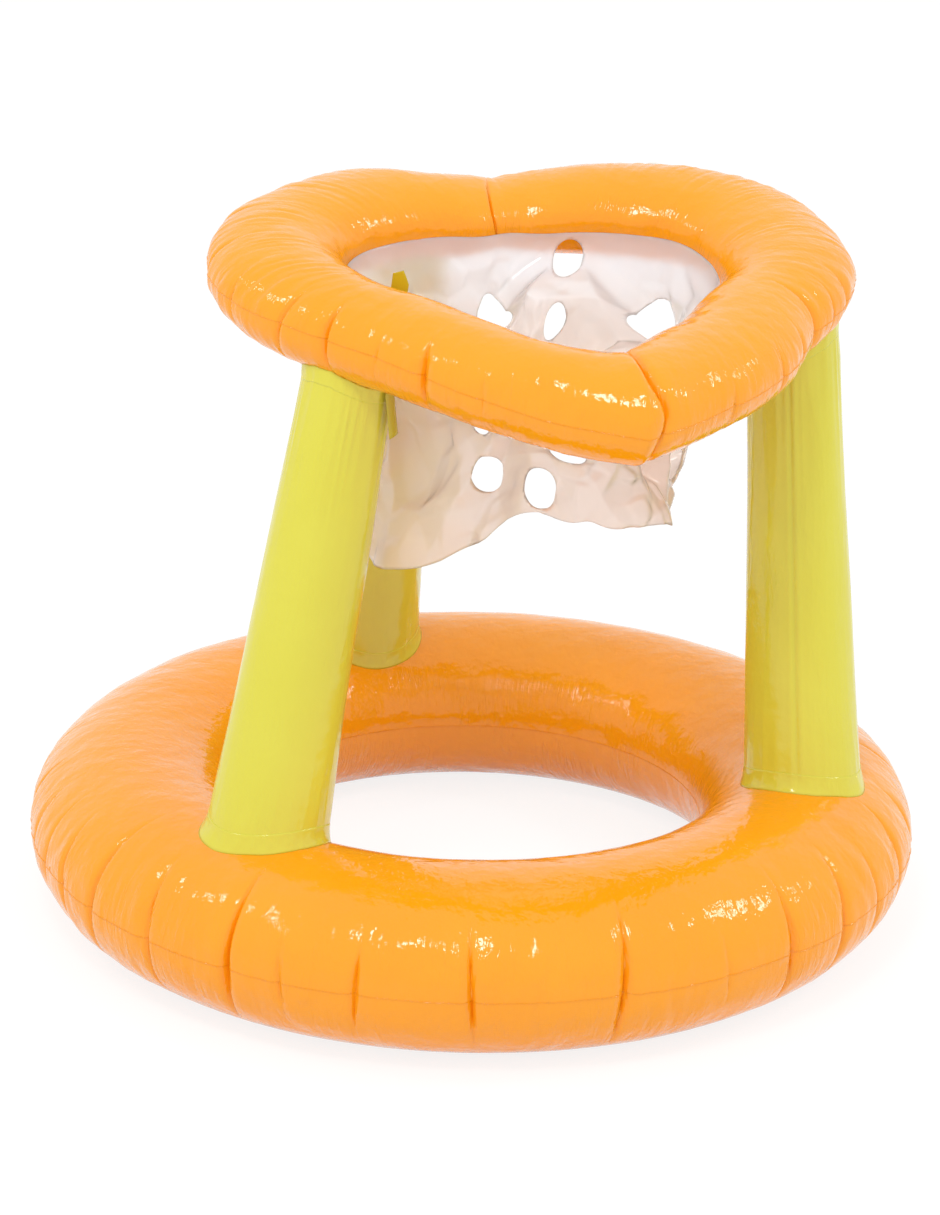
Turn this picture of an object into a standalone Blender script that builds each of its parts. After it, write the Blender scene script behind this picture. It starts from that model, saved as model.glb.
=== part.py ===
"""Floating hoop game of welded vinyl film: a base ring, three legs, a heart-shaped hoop ring and a net.

Every chamber is modelled as the film that it is made of. Lengths are in metres, +Z is up, the origin is
the middle of the base ring on the ground, and -Y is the front.
"""
import math

import bmesh
import bpy
from mathutils import Matrix, Vector
from mathutils.bvhtree import BVHTree

# Film and welds
FILM = 0.0003
NET_FILM = 0.0002
WELD_GAP = 0.0003
SEAM_FLANGE = 0.004

# Base ring, an inflated tube with a flat band where it lies on the ground
RING_RADIUS = 0.250
RING_HALF_WIDTH = 0.0785
RING_HALF_HEIGHT = 0.0615
RING_REST_BAND = 0.024
VENT_RADIUS = 0.012

# Hoop ring, heart-shaped in its own plane, which slopes down to the front
HOOP_CENTRE = (0.044, -0.0435, 0.480)
HOOP_REACH = 0.246
HOOP_HALF_HEIGHT = 0.0335
HOOP_NOTCH_TURN = math.radians(15.8)
HOOP_RISE_SHARES = (-0.05, 0.15)
# Distance from the hoop's centre to its outer and inner seam, every 15 degrees from notch to point, first
# down the right side and then down the left
HEART_OUTER_SHARES = (
    (0.681, 0.739, 0.824, 0.913, 0.984, 0.973, 0.936, 0.861, 0.791, 0.807, 0.842, 0.897, 0.991),
    (0.681, 0.741, 0.870, 0.914, 0.966, 0.968, 0.933, 0.856, 0.792, 0.777, 0.810, 0.889, 0.991),
)
HEART_INNER_SHARES = (
    (0.395, 0.392, 0.436, 0.494, 0.556, 0.551, 0.525, 0.491, 0.449, 0.447, 0.474, 0.512, 0.613),
    (0.395, 0.389, 0.446, 0.504, 0.561, 0.575, 0.532, 0.478, 0.432, 0.428, 0.470, 0.559, 0.613),
)
# Height of the tube, notch to point, as shares of its full height
HEART_HEIGHT_SHARES = (0.72, 0.85, 0.94, 0.98, 1.0, 1.0, 1.0, 0.98, 0.96, 0.96, 0.97, 1.0, 1.03)

# Legs: name, azimuth of the foot, bearing of the top from the hoop's notch, and how far each of the two
# stands outside the middle of its tube
LEGS = (
    ("left", math.radians(-128.3), -0.020, math.radians(-110.8), 0.0065),
    ("right", math.radians(-12.4), -0.003, math.radians(98.0), 0.0080),
    ("back", math.radians(112.0), -0.014, math.radians(-25.0), 0.001),
)
LEG_FOOT_RADIUS = 0.0430
LEG_TOP_RADIUS = 0.0320
LEG_WAIST = 0.0010
FOOT_COLLAR_HEIGHT = 0.013
TOP_COLLAR_HEIGHT = 0.010
FOOT_BRIM = 0.004
TOP_BRIM = 0.003
RIM_SLACK = 0.0002
BRIM_SLACK = 0.0005
COLLAR_BEND_SHARE = 0.25
BRIM_BEND_SHARE = 0.33

# Net, a film tube that hangs from the hoop's inner seam
NET_LENGTH = 0.152
NET_RAGGED_DROP = 0.003
NET_FOLD_DEPTH = 0.007
# How far the crumpled film reaches down, every 45 degrees from the point round by the left
NET_DROP_SHARES = (0.78, 1.07, 1.12, 1.05, 1.0, 1.0, 1.05, 0.95, 0.78)
# Waves round the net: how many, where they start and their share of the depth or drop
NET_FOLDS = ((7, 0.6, 0.65), (11, 2.0, 0.35))
NET_RAGS = ((3, 1.1, 0.6), (8, 0.0, 0.4))
NET_BOTTOM_SHIFT = (-0.012, -0.006)
NET_WIDTH_SHARES = (1.0, 0.89, 0.81, 0.80, 0.84)
NET_HOLE_RADIUS = 0.0135
NET_PUNCH_DEPTH = 0.03
NET_HOLE_ROW_SHARES = (0.26, 0.53, 0.79)
NET_HOLES_ROUND = 7
NET_HOLE_SIDES = 10

# Loose weld tabs at the left leg's top
UPPER_TAB_WIDTH = 0.015
UPPER_TAB_RISE = 0.024
UPPER_TAB_LEAN = 0.006
UPPER_TAB_BEND_SHARE = 0.33
UPPER_TAB_BEARING = math.radians(-105.0)
LOWER_TAB_WIDTH = 0.010
LOWER_TAB_FOOT = 0.004
LOWER_TAB_DROP = 0.032
LOWER_TAB_AZIMUTH = math.radians(-35.0)

# Inflation valve: a soft stem that is pushed into its chamber after filling
STEM_RADIUS = 0.0055
STEM_BORE = 0.0035
STEM_LENGTH = 0.017
STEM_LIP_RADIUS = 0.0070
STEM_LIP_THICKNESS = 0.0011
VALVE_PLATE_RADIUS = 0.011
VALVE_PLATE_THICKNESS = 0.0008
VALVE_CLEARANCE = 0.0003
CAP_THICKNESS = 0.0016
CAP_SOFT_SHARE = 0.33
CAP_EDGE_CLEARANCE = 0.0002
PLUG_RADIUS = 0.0031
PLUG_LENGTH = 0.0045
PLUG_STEPS = 4
PULL_TAB_REACH = 0.0035
PULL_TAB_WIDTH = 0.005
FLAP_RADIUS = 0.0046
FLAP_THICKNESS = 0.0005
BASE_VALVE_AZIMUTH = math.radians(58.0)
HOOP_VALVE_BEARING = math.radians(38.0)
VALVE_HEIGHT_ANGLE = math.radians(27.0)

# Facets
RING_STEPS = 52
TUBE_STEPS = 8
GUIDE_FINENESS = 6
SEARCH_REACH = 0.1
HEART_STEPS = 24
LEG_SIDES = 24
SLEEVE_ROWS = 4
NET_COLUMNS = 2 * HEART_STEPS
ROUND_SIDES = 16
SHARP_ANGLE = math.radians(50.0)
MERGE_DISTANCE = 0.00001

# Colours of the films
ORANGE = (1.0, 0.40, 0.035, 1.0)
LIME = (0.74, 0.69, 0.10, 1.0)
CLEAR_PINK = (0.90, 0.74, 0.70, 0.6)
MILKY = (0.88, 0.88, 0.85, 1.0)

UP = Vector((0, 0, 1))


def make_collection(name):
    collection = bpy.data.collections.new(name)
    bpy.context.scene.collection.children.link(collection)
    return collection


def film_material(name, colour, roughness):
    """A glossy film or moulding of one colour."""
    material = bpy.data.materials.new(name)
    material.use_nodes = True
    shader = material.node_tree.nodes["Principled BSDF"]
    shader.inputs["Base Color"].default_value = colour
    shader.inputs["Roughness"].default_value = roughness
    shader.inputs["Metallic"].default_value = 0.0
    shader.inputs["Alpha"].default_value = colour[3]
    return material


def add_object(name, mesh, collection, colour=None, roughness=0.25):
    piece = bpy.data.objects.new(name, mesh)
    collection.objects.link(piece)
    if colour:
        mesh.materials.clear()
        mesh.materials.append(film_material(name, colour, roughness))
    return piece


def shade_round(mesh):
    mesh.shade_smooth()
    mesh.set_sharp_from_angle(angle=SHARP_ANGLE)


def smooth_value(shares, place):
    """The value at a place from 0 to 1 along a table, on a smooth curve through its entries."""
    last = len(shares) - 1
    position = min(max(place, 0.0), 1.0) * last
    index = min(int(position), last - 1)
    part = position - index
    before = shares[index - 1] if index > 0 else 2 * shares[0] - shares[1]
    start, end = shares[index], shares[index + 1]
    after = shares[index + 2] if index + 2 <= last else 2 * shares[last] - shares[last - 1]
    slope_in = (end - before) / 2
    slope_out = (after - start) / 2
    return (
        (2 * part**3 - 3 * part**2 + 1) * start
        + (part**3 - 2 * part**2 + part) * slope_in
        + (3 * part**2 - 2 * part**3) * end
        + (part**3 - part**2) * slope_out
    )


def loft(name, rings, closed):
    """A skin through rings of points that all have the same count."""
    shape = bmesh.new()
    rows = [[shape.verts.new(point) for point in ring] for ring in rings]
    count = len(rings[0])
    for lower, upper in zip(rows, rows[1:]):
        for i in range(count if closed else count - 1):
            j = (i + 1) % count
            shape.faces.new((lower[i], lower[j], upper[j], upper[i]))
    mesh = bpy.data.meshes.new(name)
    shape.to_mesh(mesh)
    shape.free()
    shade_round(mesh)
    return mesh


def evaluated_mesh(piece):
    bpy.context.view_layer.update()
    return bpy.data.meshes.new_from_object(piece.evaluated_get(bpy.context.evaluated_depsgraph_get()))


def turned(name, profile, steps, collection, colour=None, roughness=0.25, closed=False):
    """A profile of (radius, height) turned about Z. It runs down the piece's outer side."""
    mesh = bpy.data.meshes.new(name)
    points = [(radius, 0, height) for radius, height in profile]
    edges = [(i, i + 1) for i in range(len(points) - 1)]
    if closed:
        edges.append((len(points) - 1, 0))
    mesh.from_pydata(points, edges, [])
    piece = add_object(name, mesh, collection, colour, roughness)
    screw = piece.modifiers.new("turn", "SCREW")
    screw.steps = screw.render_steps = steps
    screw.use_merge_vertices = True
    screw.merge_threshold = MERGE_DISTANCE
    screw.use_smooth_shade = True
    return piece


def add_wall(piece, thickness):
    """Turns a skin into a film, which keeps the skin as its outer face."""
    facets = piece.modifiers.new("facets", "TRIANGULATE")
    facets.quad_method = "FIXED"
    wall = piece.modifiers.new("wall", "SOLIDIFY")
    wall.thickness = thickness
    wall.offset = -1
    wall.use_even_offset = True


def cut(piece, cutter):
    boolean = piece.modifiers.new("cut", "BOOLEAN")
    boolean.object = cutter
    boolean.operation = "DIFFERENCE"
    boolean.solver = "EXACT"


def join(piece, tool):
    boolean = piece.modifiers.new("join", "BOOLEAN")
    boolean.object = tool
    boolean.operation = "UNION"
    boolean.solver = "EXACT"


def hide_tool(tool):
    tool.hide_render = True
    tool.display_type = "WIRE"


def add_cylinder(name, radius, length, sides, frame, collection):
    """A cylinder about the frame's Z axis, centred on its origin."""
    shape = bmesh.new()
    bmesh.ops.create_cone(shape, cap_ends=True, segments=sides, radius1=radius, radius2=radius, depth=length)
    mesh = bpy.data.meshes.new(name)
    shape.to_mesh(mesh)
    shape.free()
    piece = add_object(name, mesh, collection)
    piece.matrix_world = frame
    return piece


def frame_at(origin, axis, side):
    """A frame with its Z along axis and its X as near to side as that allows."""
    z = axis.normalized()
    y = z.cross(side).normalized()
    x = y.cross(z)
    turn = Matrix((x, y, z)).transposed().to_4x4()
    return Matrix.Translation(origin) @ turn


# Base ring

SKIN_SETBACK = WELD_GAP / 2 + FILM


def ring_upper_profile(steps):
    """Outer face of the upper film, from the inner seam's flange over the crown to the outer one."""
    seam = RING_HALF_HEIGHT + SKIN_SETBACK
    rise = RING_HALF_HEIGHT - SKIN_SETBACK
    points = [(RING_RADIUS - RING_HALF_WIDTH - SEAM_FLANGE, seam)]
    for i in range(steps + 1):
        angle = math.pi * (1 - i / steps)
        points.append((RING_RADIUS + RING_HALF_WIDTH * math.cos(angle), seam + rise * math.sin(angle)))
    points.append((RING_RADIUS + RING_HALF_WIDTH + SEAM_FLANGE, seam))
    return points


def ring_lower_profile(steps):
    """Outer face of the lower film, from the outer seam's flange round the rest band to the inner one."""
    seam = RING_HALF_HEIGHT - SKIN_SETBACK
    band = RING_REST_BAND / 2
    swing = RING_HALF_WIDTH - band
    quarter = [(math.cos(math.pi / 2 * i / steps), math.sin(math.pi / 2 * i / steps)) for i in range(steps + 1)]
    outer = [(RING_RADIUS + band + swing * c, seam * (1 - s)) for c, s in quarter]
    inner = [(RING_RADIUS - band - swing * c, seam * (1 - s)) for c, s in reversed(quarter)]
    reach = RING_HALF_WIDTH + SEAM_FLANGE
    return [(RING_RADIUS + reach, seam)] + outer + inner + [(RING_RADIUS - reach, seam)]


def ring_point(azimuth, height_angle):
    """Point on the crown side of the base ring's section, and the outward direction there."""
    out = Vector((math.cos(azimuth), math.sin(azimuth), 0))
    rise = RING_HALF_HEIGHT - SKIN_SETBACK
    place = out * (RING_RADIUS + RING_HALF_WIDTH * math.cos(height_angle))
    place += UP * (RING_HALF_HEIGHT + SKIN_SETBACK + rise * math.sin(height_angle))
    outward = out * (math.cos(height_angle) / RING_HALF_WIDTH) + UP * (math.sin(height_angle) / rise)
    return place, outward.normalized()


# Hoop ring

def hoop_frame():
    """Frame with its origin at the hoop's centre, Y towards the notch and Z square to its plane."""
    rise_x, rise_y = HOOP_RISE_SHARES
    normal = Vector((-rise_x, -rise_y, 1))
    side = Vector((math.cos(HOOP_NOTCH_TURN), math.sin(HOOP_NOTCH_TURN), 0))
    return frame_at(Vector(HOOP_CENTRE), normal, side)


def heart_radii(bearing):
    """Outer and inner seam radius and half height of the tube at a bearing from the notch."""
    place = abs(bearing) / math.pi
    half = 1 if bearing < 0 else 0
    outer = HOOP_REACH * smooth_value(HEART_OUTER_SHARES[half], place)
    inner = HOOP_REACH * smooth_value(HEART_INNER_SHARES[half], place)
    half_height = HOOP_HALF_HEIGHT * smooth_value(HEART_HEIGHT_SHARES, place)
    return outer, inner, half_height


def heart_section(bearing, side, steps):
    """Outer face of one film at a bearing, from flange to flange. side is 1 for the upper film."""
    outer, inner, half_height = heart_radii(bearing)
    out = Vector((math.sin(bearing), math.cos(bearing), 0))
    middle = (outer + inner) / 2
    half_width = (outer - inner) / 2
    seam = UP * (side * SKIN_SETBACK)
    points = [out * (outer + SEAM_FLANGE) + seam]
    for i in range(steps + 1):
        angle = math.pi * i / steps
        rise = UP * (side * (half_height - SKIN_SETBACK) * math.sin(angle))
        points.append(out * (middle + half_width * math.cos(angle)) + seam + rise)
    points.append(out * (inner - SEAM_FLANGE) + seam)
    return points[::side]


def hoop_point(bearing, height_angle):
    """Point on the upper side of the hoop's section in world space, and roughly outwards from there."""
    outer, inner, half_height = heart_radii(bearing)
    out = Vector((math.sin(bearing), math.cos(bearing), 0))
    reach = (outer + inner) / 2 + (outer - inner) / 2 * math.cos(height_angle)
    place = out * reach + UP * (half_height * math.sin(height_angle))
    outward = out * math.cos(height_angle) + UP * math.sin(height_angle)
    frame = hoop_frame()
    return frame @ place, frame.to_3x3() @ outward


def heart_skin(name, side, around, steps, collection, colour=None):
    """One film of the hoop, with the given count of facets down either half of the heart."""
    bearings = [math.pi * i / around for i in range(1 - around, around + 1)]
    sections = [heart_section(bearing, side, steps) for bearing in bearings]
    piece = add_object(name, loft(name, list(zip(*sections)), True), collection, colour)
    piece.matrix_world = hoop_frame()
    return piece


def surface_tree(guides):
    """Search tree over guide surfaces in world space, a fine one and one with the part's own facets.

    A line from outside meets whichever lies further out. The guides themselves are removed.
    """
    shape = bmesh.new()
    for guide in guides:
        mesh = evaluated_mesh(guide)
        mesh.transform(guide.matrix_world)
        shape.from_mesh(mesh)
        bpy.data.objects.remove(guide)
    tree = BVHTree.FromBMesh(shape)
    shape.free()
    return tree


def seat(tree, aim, direction, lift):
    """Where a line through aim meets a surface, lifted off it on the side that the line comes from.

    A line that passes the surface by takes the surface's nearest point to aim.
    """
    place, normal, _, _ = tree.ray_cast(aim - direction * SEARCH_REACH, direction)
    if place is None:
        place, normal, _, _ = tree.find_nearest(aim)
    if normal.dot(direction) > 0:
        normal = -normal
    return place + normal * lift


# Legs

def leg_ends(foot_azimuth, foot_outset, top_bearing, top_outset):
    """Middle of the foot at the ring's crown and of the top at the hoop's underside."""
    away = RING_RADIUS + foot_outset
    foot = Vector((away * math.cos(foot_azimuth), away * math.sin(foot_azimuth), 2 * RING_HALF_HEIGHT))
    outer, inner, half_height = heart_radii(top_bearing)
    reach = (outer + inner) / 2 + top_outset
    local = Vector((reach * math.sin(top_bearing), reach * math.cos(top_bearing), -half_height))
    return foot, hoop_frame() @ local


class Leg:
    """Lines along a leg's film, from its seat on the ring to its seat under the hoop."""

    def __init__(self, ends, ring_tree, hoop_tree):
        self.foot, self.top = ends
        self.ring_tree, self.hoop_tree = ring_tree, hoop_tree
        self.along = (self.top - self.foot).normalized()
        side = self.along.cross(Vector((0, 1, 0))).normalized()
        other = self.along.cross(side)
        turns = [2 * math.pi * i / LEG_SIDES for i in range(LEG_SIDES)]
        self.spokes = [side * math.cos(turn) + other * math.sin(turn) for turn in turns]
        lift = WELD_GAP + FILM + RIM_SLACK
        feet = self.seats(True, LEG_FOOT_RADIUS, lift)
        tops = self.seats(False, LEG_TOP_RADIUS, lift)
        self.lines = list(zip(feet, tops, self.spokes))

    def seats(self, at_foot, radius, lift):
        """A ring of points on the surface that the leg stands on, or hangs from."""
        tree = self.ring_tree if at_foot else self.hoop_tree
        end = self.foot if at_foot else self.top
        direction = -self.along if at_foot else self.along
        return [seat(tree, end + spoke * radius, direction, lift) for spoke in self.spokes]

    def ring_at(self, share, lift=0.0):
        """A ring round the leg at a share of its length."""
        reach = lift - LEG_WAIST * math.sin(math.pi * share)
        return [foot.lerp(top, share) + spoke * reach for foot, top, spoke in self.lines]

    def sleeve(self):
        return [self.ring_at(i / SLEEVE_ROWS) for i in range(SLEEVE_ROWS + 1)]

    def collar(self, at_foot):
        """Rings of a collar, from the edge that lies on the sleeve to the brim on the chamber."""
        height = FOOT_COLLAR_HEIGHT if at_foot else TOP_COLLAR_HEIGHT
        radius = LEG_FOOT_RADIUS if at_foot else LEG_TOP_RADIUS
        share = height / (self.top - self.foot).length
        lift = WELD_GAP + FILM
        bend = share * COLLAR_BEND_SHARE
        places = (share, bend) if at_foot else (1 - share, 1 - bend)
        rings = [self.ring_at(place, lift) for place in places]
        brim = FOOT_BRIM if at_foot else TOP_BRIM
        for reach in (brim * BRIM_BEND_SHARE, brim):
            rings.append(self.seats(at_foot, radius + lift + reach, lift + BRIM_SLACK))
        return rings[::-1] if at_foot else rings

    def hanging_line(self, out):
        """Middle of a strip that is welded to the hoop's underside beside the collar and hangs from there."""
        edge = LEG_TOP_RADIUS + WELD_GAP + FILM + TOP_BRIM + WELD_GAP
        reaches = (edge + LOWER_TAB_FOOT, edge + LOWER_TAB_FOOT / 2)
        foot = [seat(self.hoop_tree, self.top + out * reach, self.along, WELD_GAP + FILM) for reach in reaches]
        return [*foot, foot[-1] - UP * LOWER_TAB_DROP]


# Net

def waves(table, bearing):
    return sum(depth * math.sin(count * bearing + start) for count, start, depth in table)


def net_ring(share):
    """A ring round the net at a share of its length, in world space."""
    frame = hoop_frame()
    centre = Vector(HOOP_CENTRE)
    shift = Vector((*NET_BOTTOM_SHIFT, 0)) * share
    width = smooth_value(NET_WIDTH_SHARES, share)
    ring = []
    for i in range(NET_COLUMNS):
        bearing = 2 * math.pi * i / NET_COLUMNS
        signed = bearing if bearing <= math.pi else bearing - 2 * math.pi
        inner = heart_radii(signed)[1] - SEAM_FLANGE - WELD_GAP
        top = frame @ Vector((inner * math.sin(bearing), inner * math.cos(bearing), 0))
        out = Vector((top.x - centre.x, top.y - centre.y, 0))
        reach = out * width + out.normalized() * (NET_FOLD_DEPTH * waves(NET_FOLDS, bearing) * share)
        reach_down = NET_LENGTH * smooth_value(NET_DROP_SHARES, (signed + math.pi) / (2 * math.pi))
        drop = share * reach_down + share**3 * NET_RAGGED_DROP * waves(NET_RAGS, bearing)
        ring.append(Vector((centre.x, centre.y, top.z - drop)) + reach + shift)
    return ring


def net_punches(rings, collection):
    """One tool with a cylinder at each die-cut hole, square to the film."""
    shape = bmesh.new()
    for row, share in enumerate(NET_HOLE_ROW_SHARES):
        ring = net_ring(share)
        middle = sum(ring, Vector()) / len(ring)
        for i in range(NET_HOLES_ROUND):
            column = (i + (row % 2) / 2) * NET_COLUMNS / NET_HOLES_ROUND
            place = ring[int(column) % NET_COLUMNS]
            out = Vector((place.x - middle.x, place.y - middle.y, 0))
            bmesh.ops.create_cone(
                shape,
                cap_ends=True,
                segments=NET_HOLE_SIDES,
                radius1=NET_HOLE_RADIUS,
                radius2=NET_HOLE_RADIUS,
                depth=NET_PUNCH_DEPTH,
                matrix=frame_at(place, out, UP),
            )
    mesh = bpy.data.meshes.new("net_punches")
    shape.to_mesh(mesh)
    shape.free()
    punches = add_object("net_punches", mesh, collection)
    hide_tool(punches)
    return punches


# Valves

PLATE_TOP = WELD_GAP + RIM_SLACK + VALVE_PLATE_THICKNESS
STEM_TOP = PLATE_TOP + WELD_GAP + STEM_LIP_THICKNESS
PLATE_HOLE = STEM_RADIUS + VALVE_CLEARANCE


def stem_profile():
    """Lip, shaft and foot of the stem. Its last point joins its first, along the bore."""
    bottom = STEM_TOP - STEM_LENGTH
    lip = STEM_TOP - STEM_LIP_THICKNESS
    foot = bottom + STEM_LIP_THICKNESS
    return [
        (STEM_BORE, STEM_TOP),
        (STEM_LIP_RADIUS, STEM_TOP),
        (STEM_LIP_RADIUS, lip),
        (STEM_RADIUS, lip),
        (STEM_RADIUS, foot),
        (STEM_LIP_RADIUS, foot),
        (STEM_LIP_RADIUS, bottom),
        (STEM_BORE, bottom),
    ]


def stopper_profile():
    """Cap with a softened edge and a short plug with a round end."""
    under = STEM_TOP + WELD_GAP
    top = under + CAP_THICKNESS
    edge = STEM_LIP_RADIUS - CAP_EDGE_CLEARANCE
    soft = CAP_THICKNESS * CAP_SOFT_SHARE
    points = [(0, top), (edge - soft, top), (edge, top - soft), (edge, under), (PLUG_RADIUS, under)]
    straight = under - (PLUG_LENGTH - PLUG_RADIUS)
    for i in range(PLUG_STEPS + 1):
        angle = math.pi / 2 * i / PLUG_STEPS
        points.append((PLUG_RADIUS * math.cos(angle), straight - PLUG_RADIUS * math.sin(angle)))
    points[-1] = (0, straight - PLUG_RADIUS)
    return points


def hinge_empty(name, frame, offset, collection):
    """An empty on a joint's axis, in the valve's frame."""
    empty = bpy.data.objects.new(name, None)
    collection.objects.link(empty)
    empty.matrix_world = frame @ Matrix.Translation(offset)
    return empty


def hang(piece, empty, frame):
    """Parents a piece that is modelled in the valve's frame to an empty on its joint's axis."""
    bpy.context.view_layer.update()
    piece.parent = empty
    piece.matrix_parent_inverse = empty.matrix_world.inverted()
    piece.matrix_world = frame


def valve_plate(name, frame, tree, collection):
    """The plate that is welded round the stem's hole and follows the chamber's curve."""
    rings = []
    direction = -frame.col[2].xyz
    for radius in (PLATE_HOLE, (PLATE_HOLE + VALVE_PLATE_RADIUS) / 2, VALVE_PLATE_RADIUS):
        ring = []
        for i in range(ROUND_SIDES):
            turn = 2 * math.pi * i / ROUND_SIDES
            local = Vector((radius * math.cos(turn), radius * math.sin(turn), 0))
            ring.append(seat(tree, frame @ local, direction, PLATE_TOP))
        rings.append(ring)
    plate = add_object(name, loft(name, rings[::-1], True), collection, MILKY, 0.35)
    add_wall(plate, VALVE_PLATE_THICKNESS)
    return plate


def valve_frame(tree, aim, outward):
    """Frame on a chamber's surface below aim, with Z square to the surface and X upwards."""
    place, normal, _, _ = tree.ray_cast(aim + outward * SEARCH_REACH, -outward)
    if place is None:
        place, normal, _, _ = tree.find_nearest(aim)
    if normal.dot(outward) < 0:
        normal = -normal
    return frame_at(place, normal, UP)


def build_valve(prefix, frame, tree, skin, parts, tools):
    """Plate, stem, stopper and inner flap of one valve. frame sits on the film with Z outwards."""
    hole = add_cylinder(prefix + "_valve_hole", PLATE_HOLE, STEM_LENGTH, ROUND_SIDES, frame, tools)
    hide_tool(hole)
    cut(skin, hole)
    valve_plate(prefix + "_valve_plate", frame, tree, parts)

    slide = hinge_empty(prefix + "_valve_slide", frame, Vector(), parts)
    stem = turned(prefix + "_valve_stem", stem_profile(), ROUND_SIDES, parts, MILKY, 0.35, closed=True)
    hang(stem, slide, frame)

    lid_hinge = Vector((STEM_LIP_RADIUS, 0, STEM_TOP + WELD_GAP / 2))
    lid = hinge_empty(prefix + "_stopper_hinge", frame, lid_hinge, parts)
    stopper = turned(prefix + "_valve_stopper", stopper_profile(), ROUND_SIDES, parts, MILKY, 0.35)
    hang(stopper, lid, frame)
    under = STEM_TOP + WELD_GAP
    shape = bmesh.new()
    tab_thickness = CAP_THICKNESS / 2
    tab_length = PULL_TAB_REACH + STEM_LIP_RADIUS / 2
    middle = Vector((-STEM_LIP_RADIUS / 2 - tab_length / 2, 0, under + CAP_THICKNESS / 2))
    size = Matrix.Diagonal((tab_length, PULL_TAB_WIDTH, tab_thickness, 1))
    bmesh.ops.create_cube(shape, size=1, matrix=Matrix.Translation(middle) @ size)
    mesh = bpy.data.meshes.new("pull_tab")
    shape.to_mesh(mesh)
    shape.free()
    tab = add_object(prefix + "_pull_tab_shape", mesh, tools)
    tab.matrix_world = frame
    hide_tool(tab)
    join(stopper, tab)

    flap_top = STEM_TOP - STEM_LENGTH - WELD_GAP
    flap_frame = frame @ Matrix.Translation((0, 0, flap_top - FLAP_THICKNESS / 2))
    flap_hinge = Vector((FLAP_RADIUS, 0, flap_top + WELD_GAP / 2))
    flap_axis = hinge_empty(prefix + "_flap_hinge", frame, flap_hinge, parts)
    flap = add_cylinder(prefix + "_valve_flap", FLAP_RADIUS, FLAP_THICKNESS, ROUND_SIDES, flap_frame, parts)
    flap.data.materials.append(film_material(prefix + "_valve_flap", MILKY, 0.4))
    hang(flap, flap_axis, flap_frame)


# Assembly

def build_tab(name, points, width, side, collection):
    """A strip of film along a line of points, as wide as width along side."""
    rings = [[point - side * (width / 2), point + side * (width / 2)] for point in points]
    piece = add_object(name, loft(name, rings, False), collection, LIME)
    add_wall(piece, FILM)
    return piece


def inner_seam_point(bearing):
    inner = heart_radii(bearing)[1]
    return Vector((inner * math.sin(bearing), inner * math.cos(bearing), 0))


def build_upper_tab(parts):
    """A loose end of weld film that stands on the hoop's inner flange, at the left leg."""
    frame = hoop_frame()
    step = math.pi / HEART_STEPS / 2
    seam = inner_seam_point(UPPER_TAB_BEARING)
    along = inner_seam_point(UPPER_TAB_BEARING + step) - inner_seam_point(UPPER_TAB_BEARING - step)
    along.normalize()
    inward = along.cross(UP)
    if inward.dot(seam) > 0:
        inward = -inward
    lift = SKIN_SETBACK + WELD_GAP
    upper = [
        seam + inward * (SEAM_FLANGE / 2) + UP * lift,
        seam + inward * SEAM_FLANGE + UP * (lift + UPPER_TAB_RISE * UPPER_TAB_BEND_SHARE),
        seam + inward * (SEAM_FLANGE + UPPER_TAB_LEAN) + UP * (lift + UPPER_TAB_RISE),
    ]
    side = frame.to_3x3() @ along
    build_tab("left_upper_tab", [frame @ point for point in upper], UPPER_TAB_WIDTH, side, parts)


def build_lower_tab(leg, parts):
    """A loose end of weld film that hangs beside the left leg's top collar."""
    out = Vector((math.cos(LOWER_TAB_AZIMUTH), math.sin(LOWER_TAB_AZIMUTH), 0))
    build_tab("left_lower_tab", leg.hanging_line(out), LOWER_TAB_WIDTH, out.cross(UP), parts)


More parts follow.
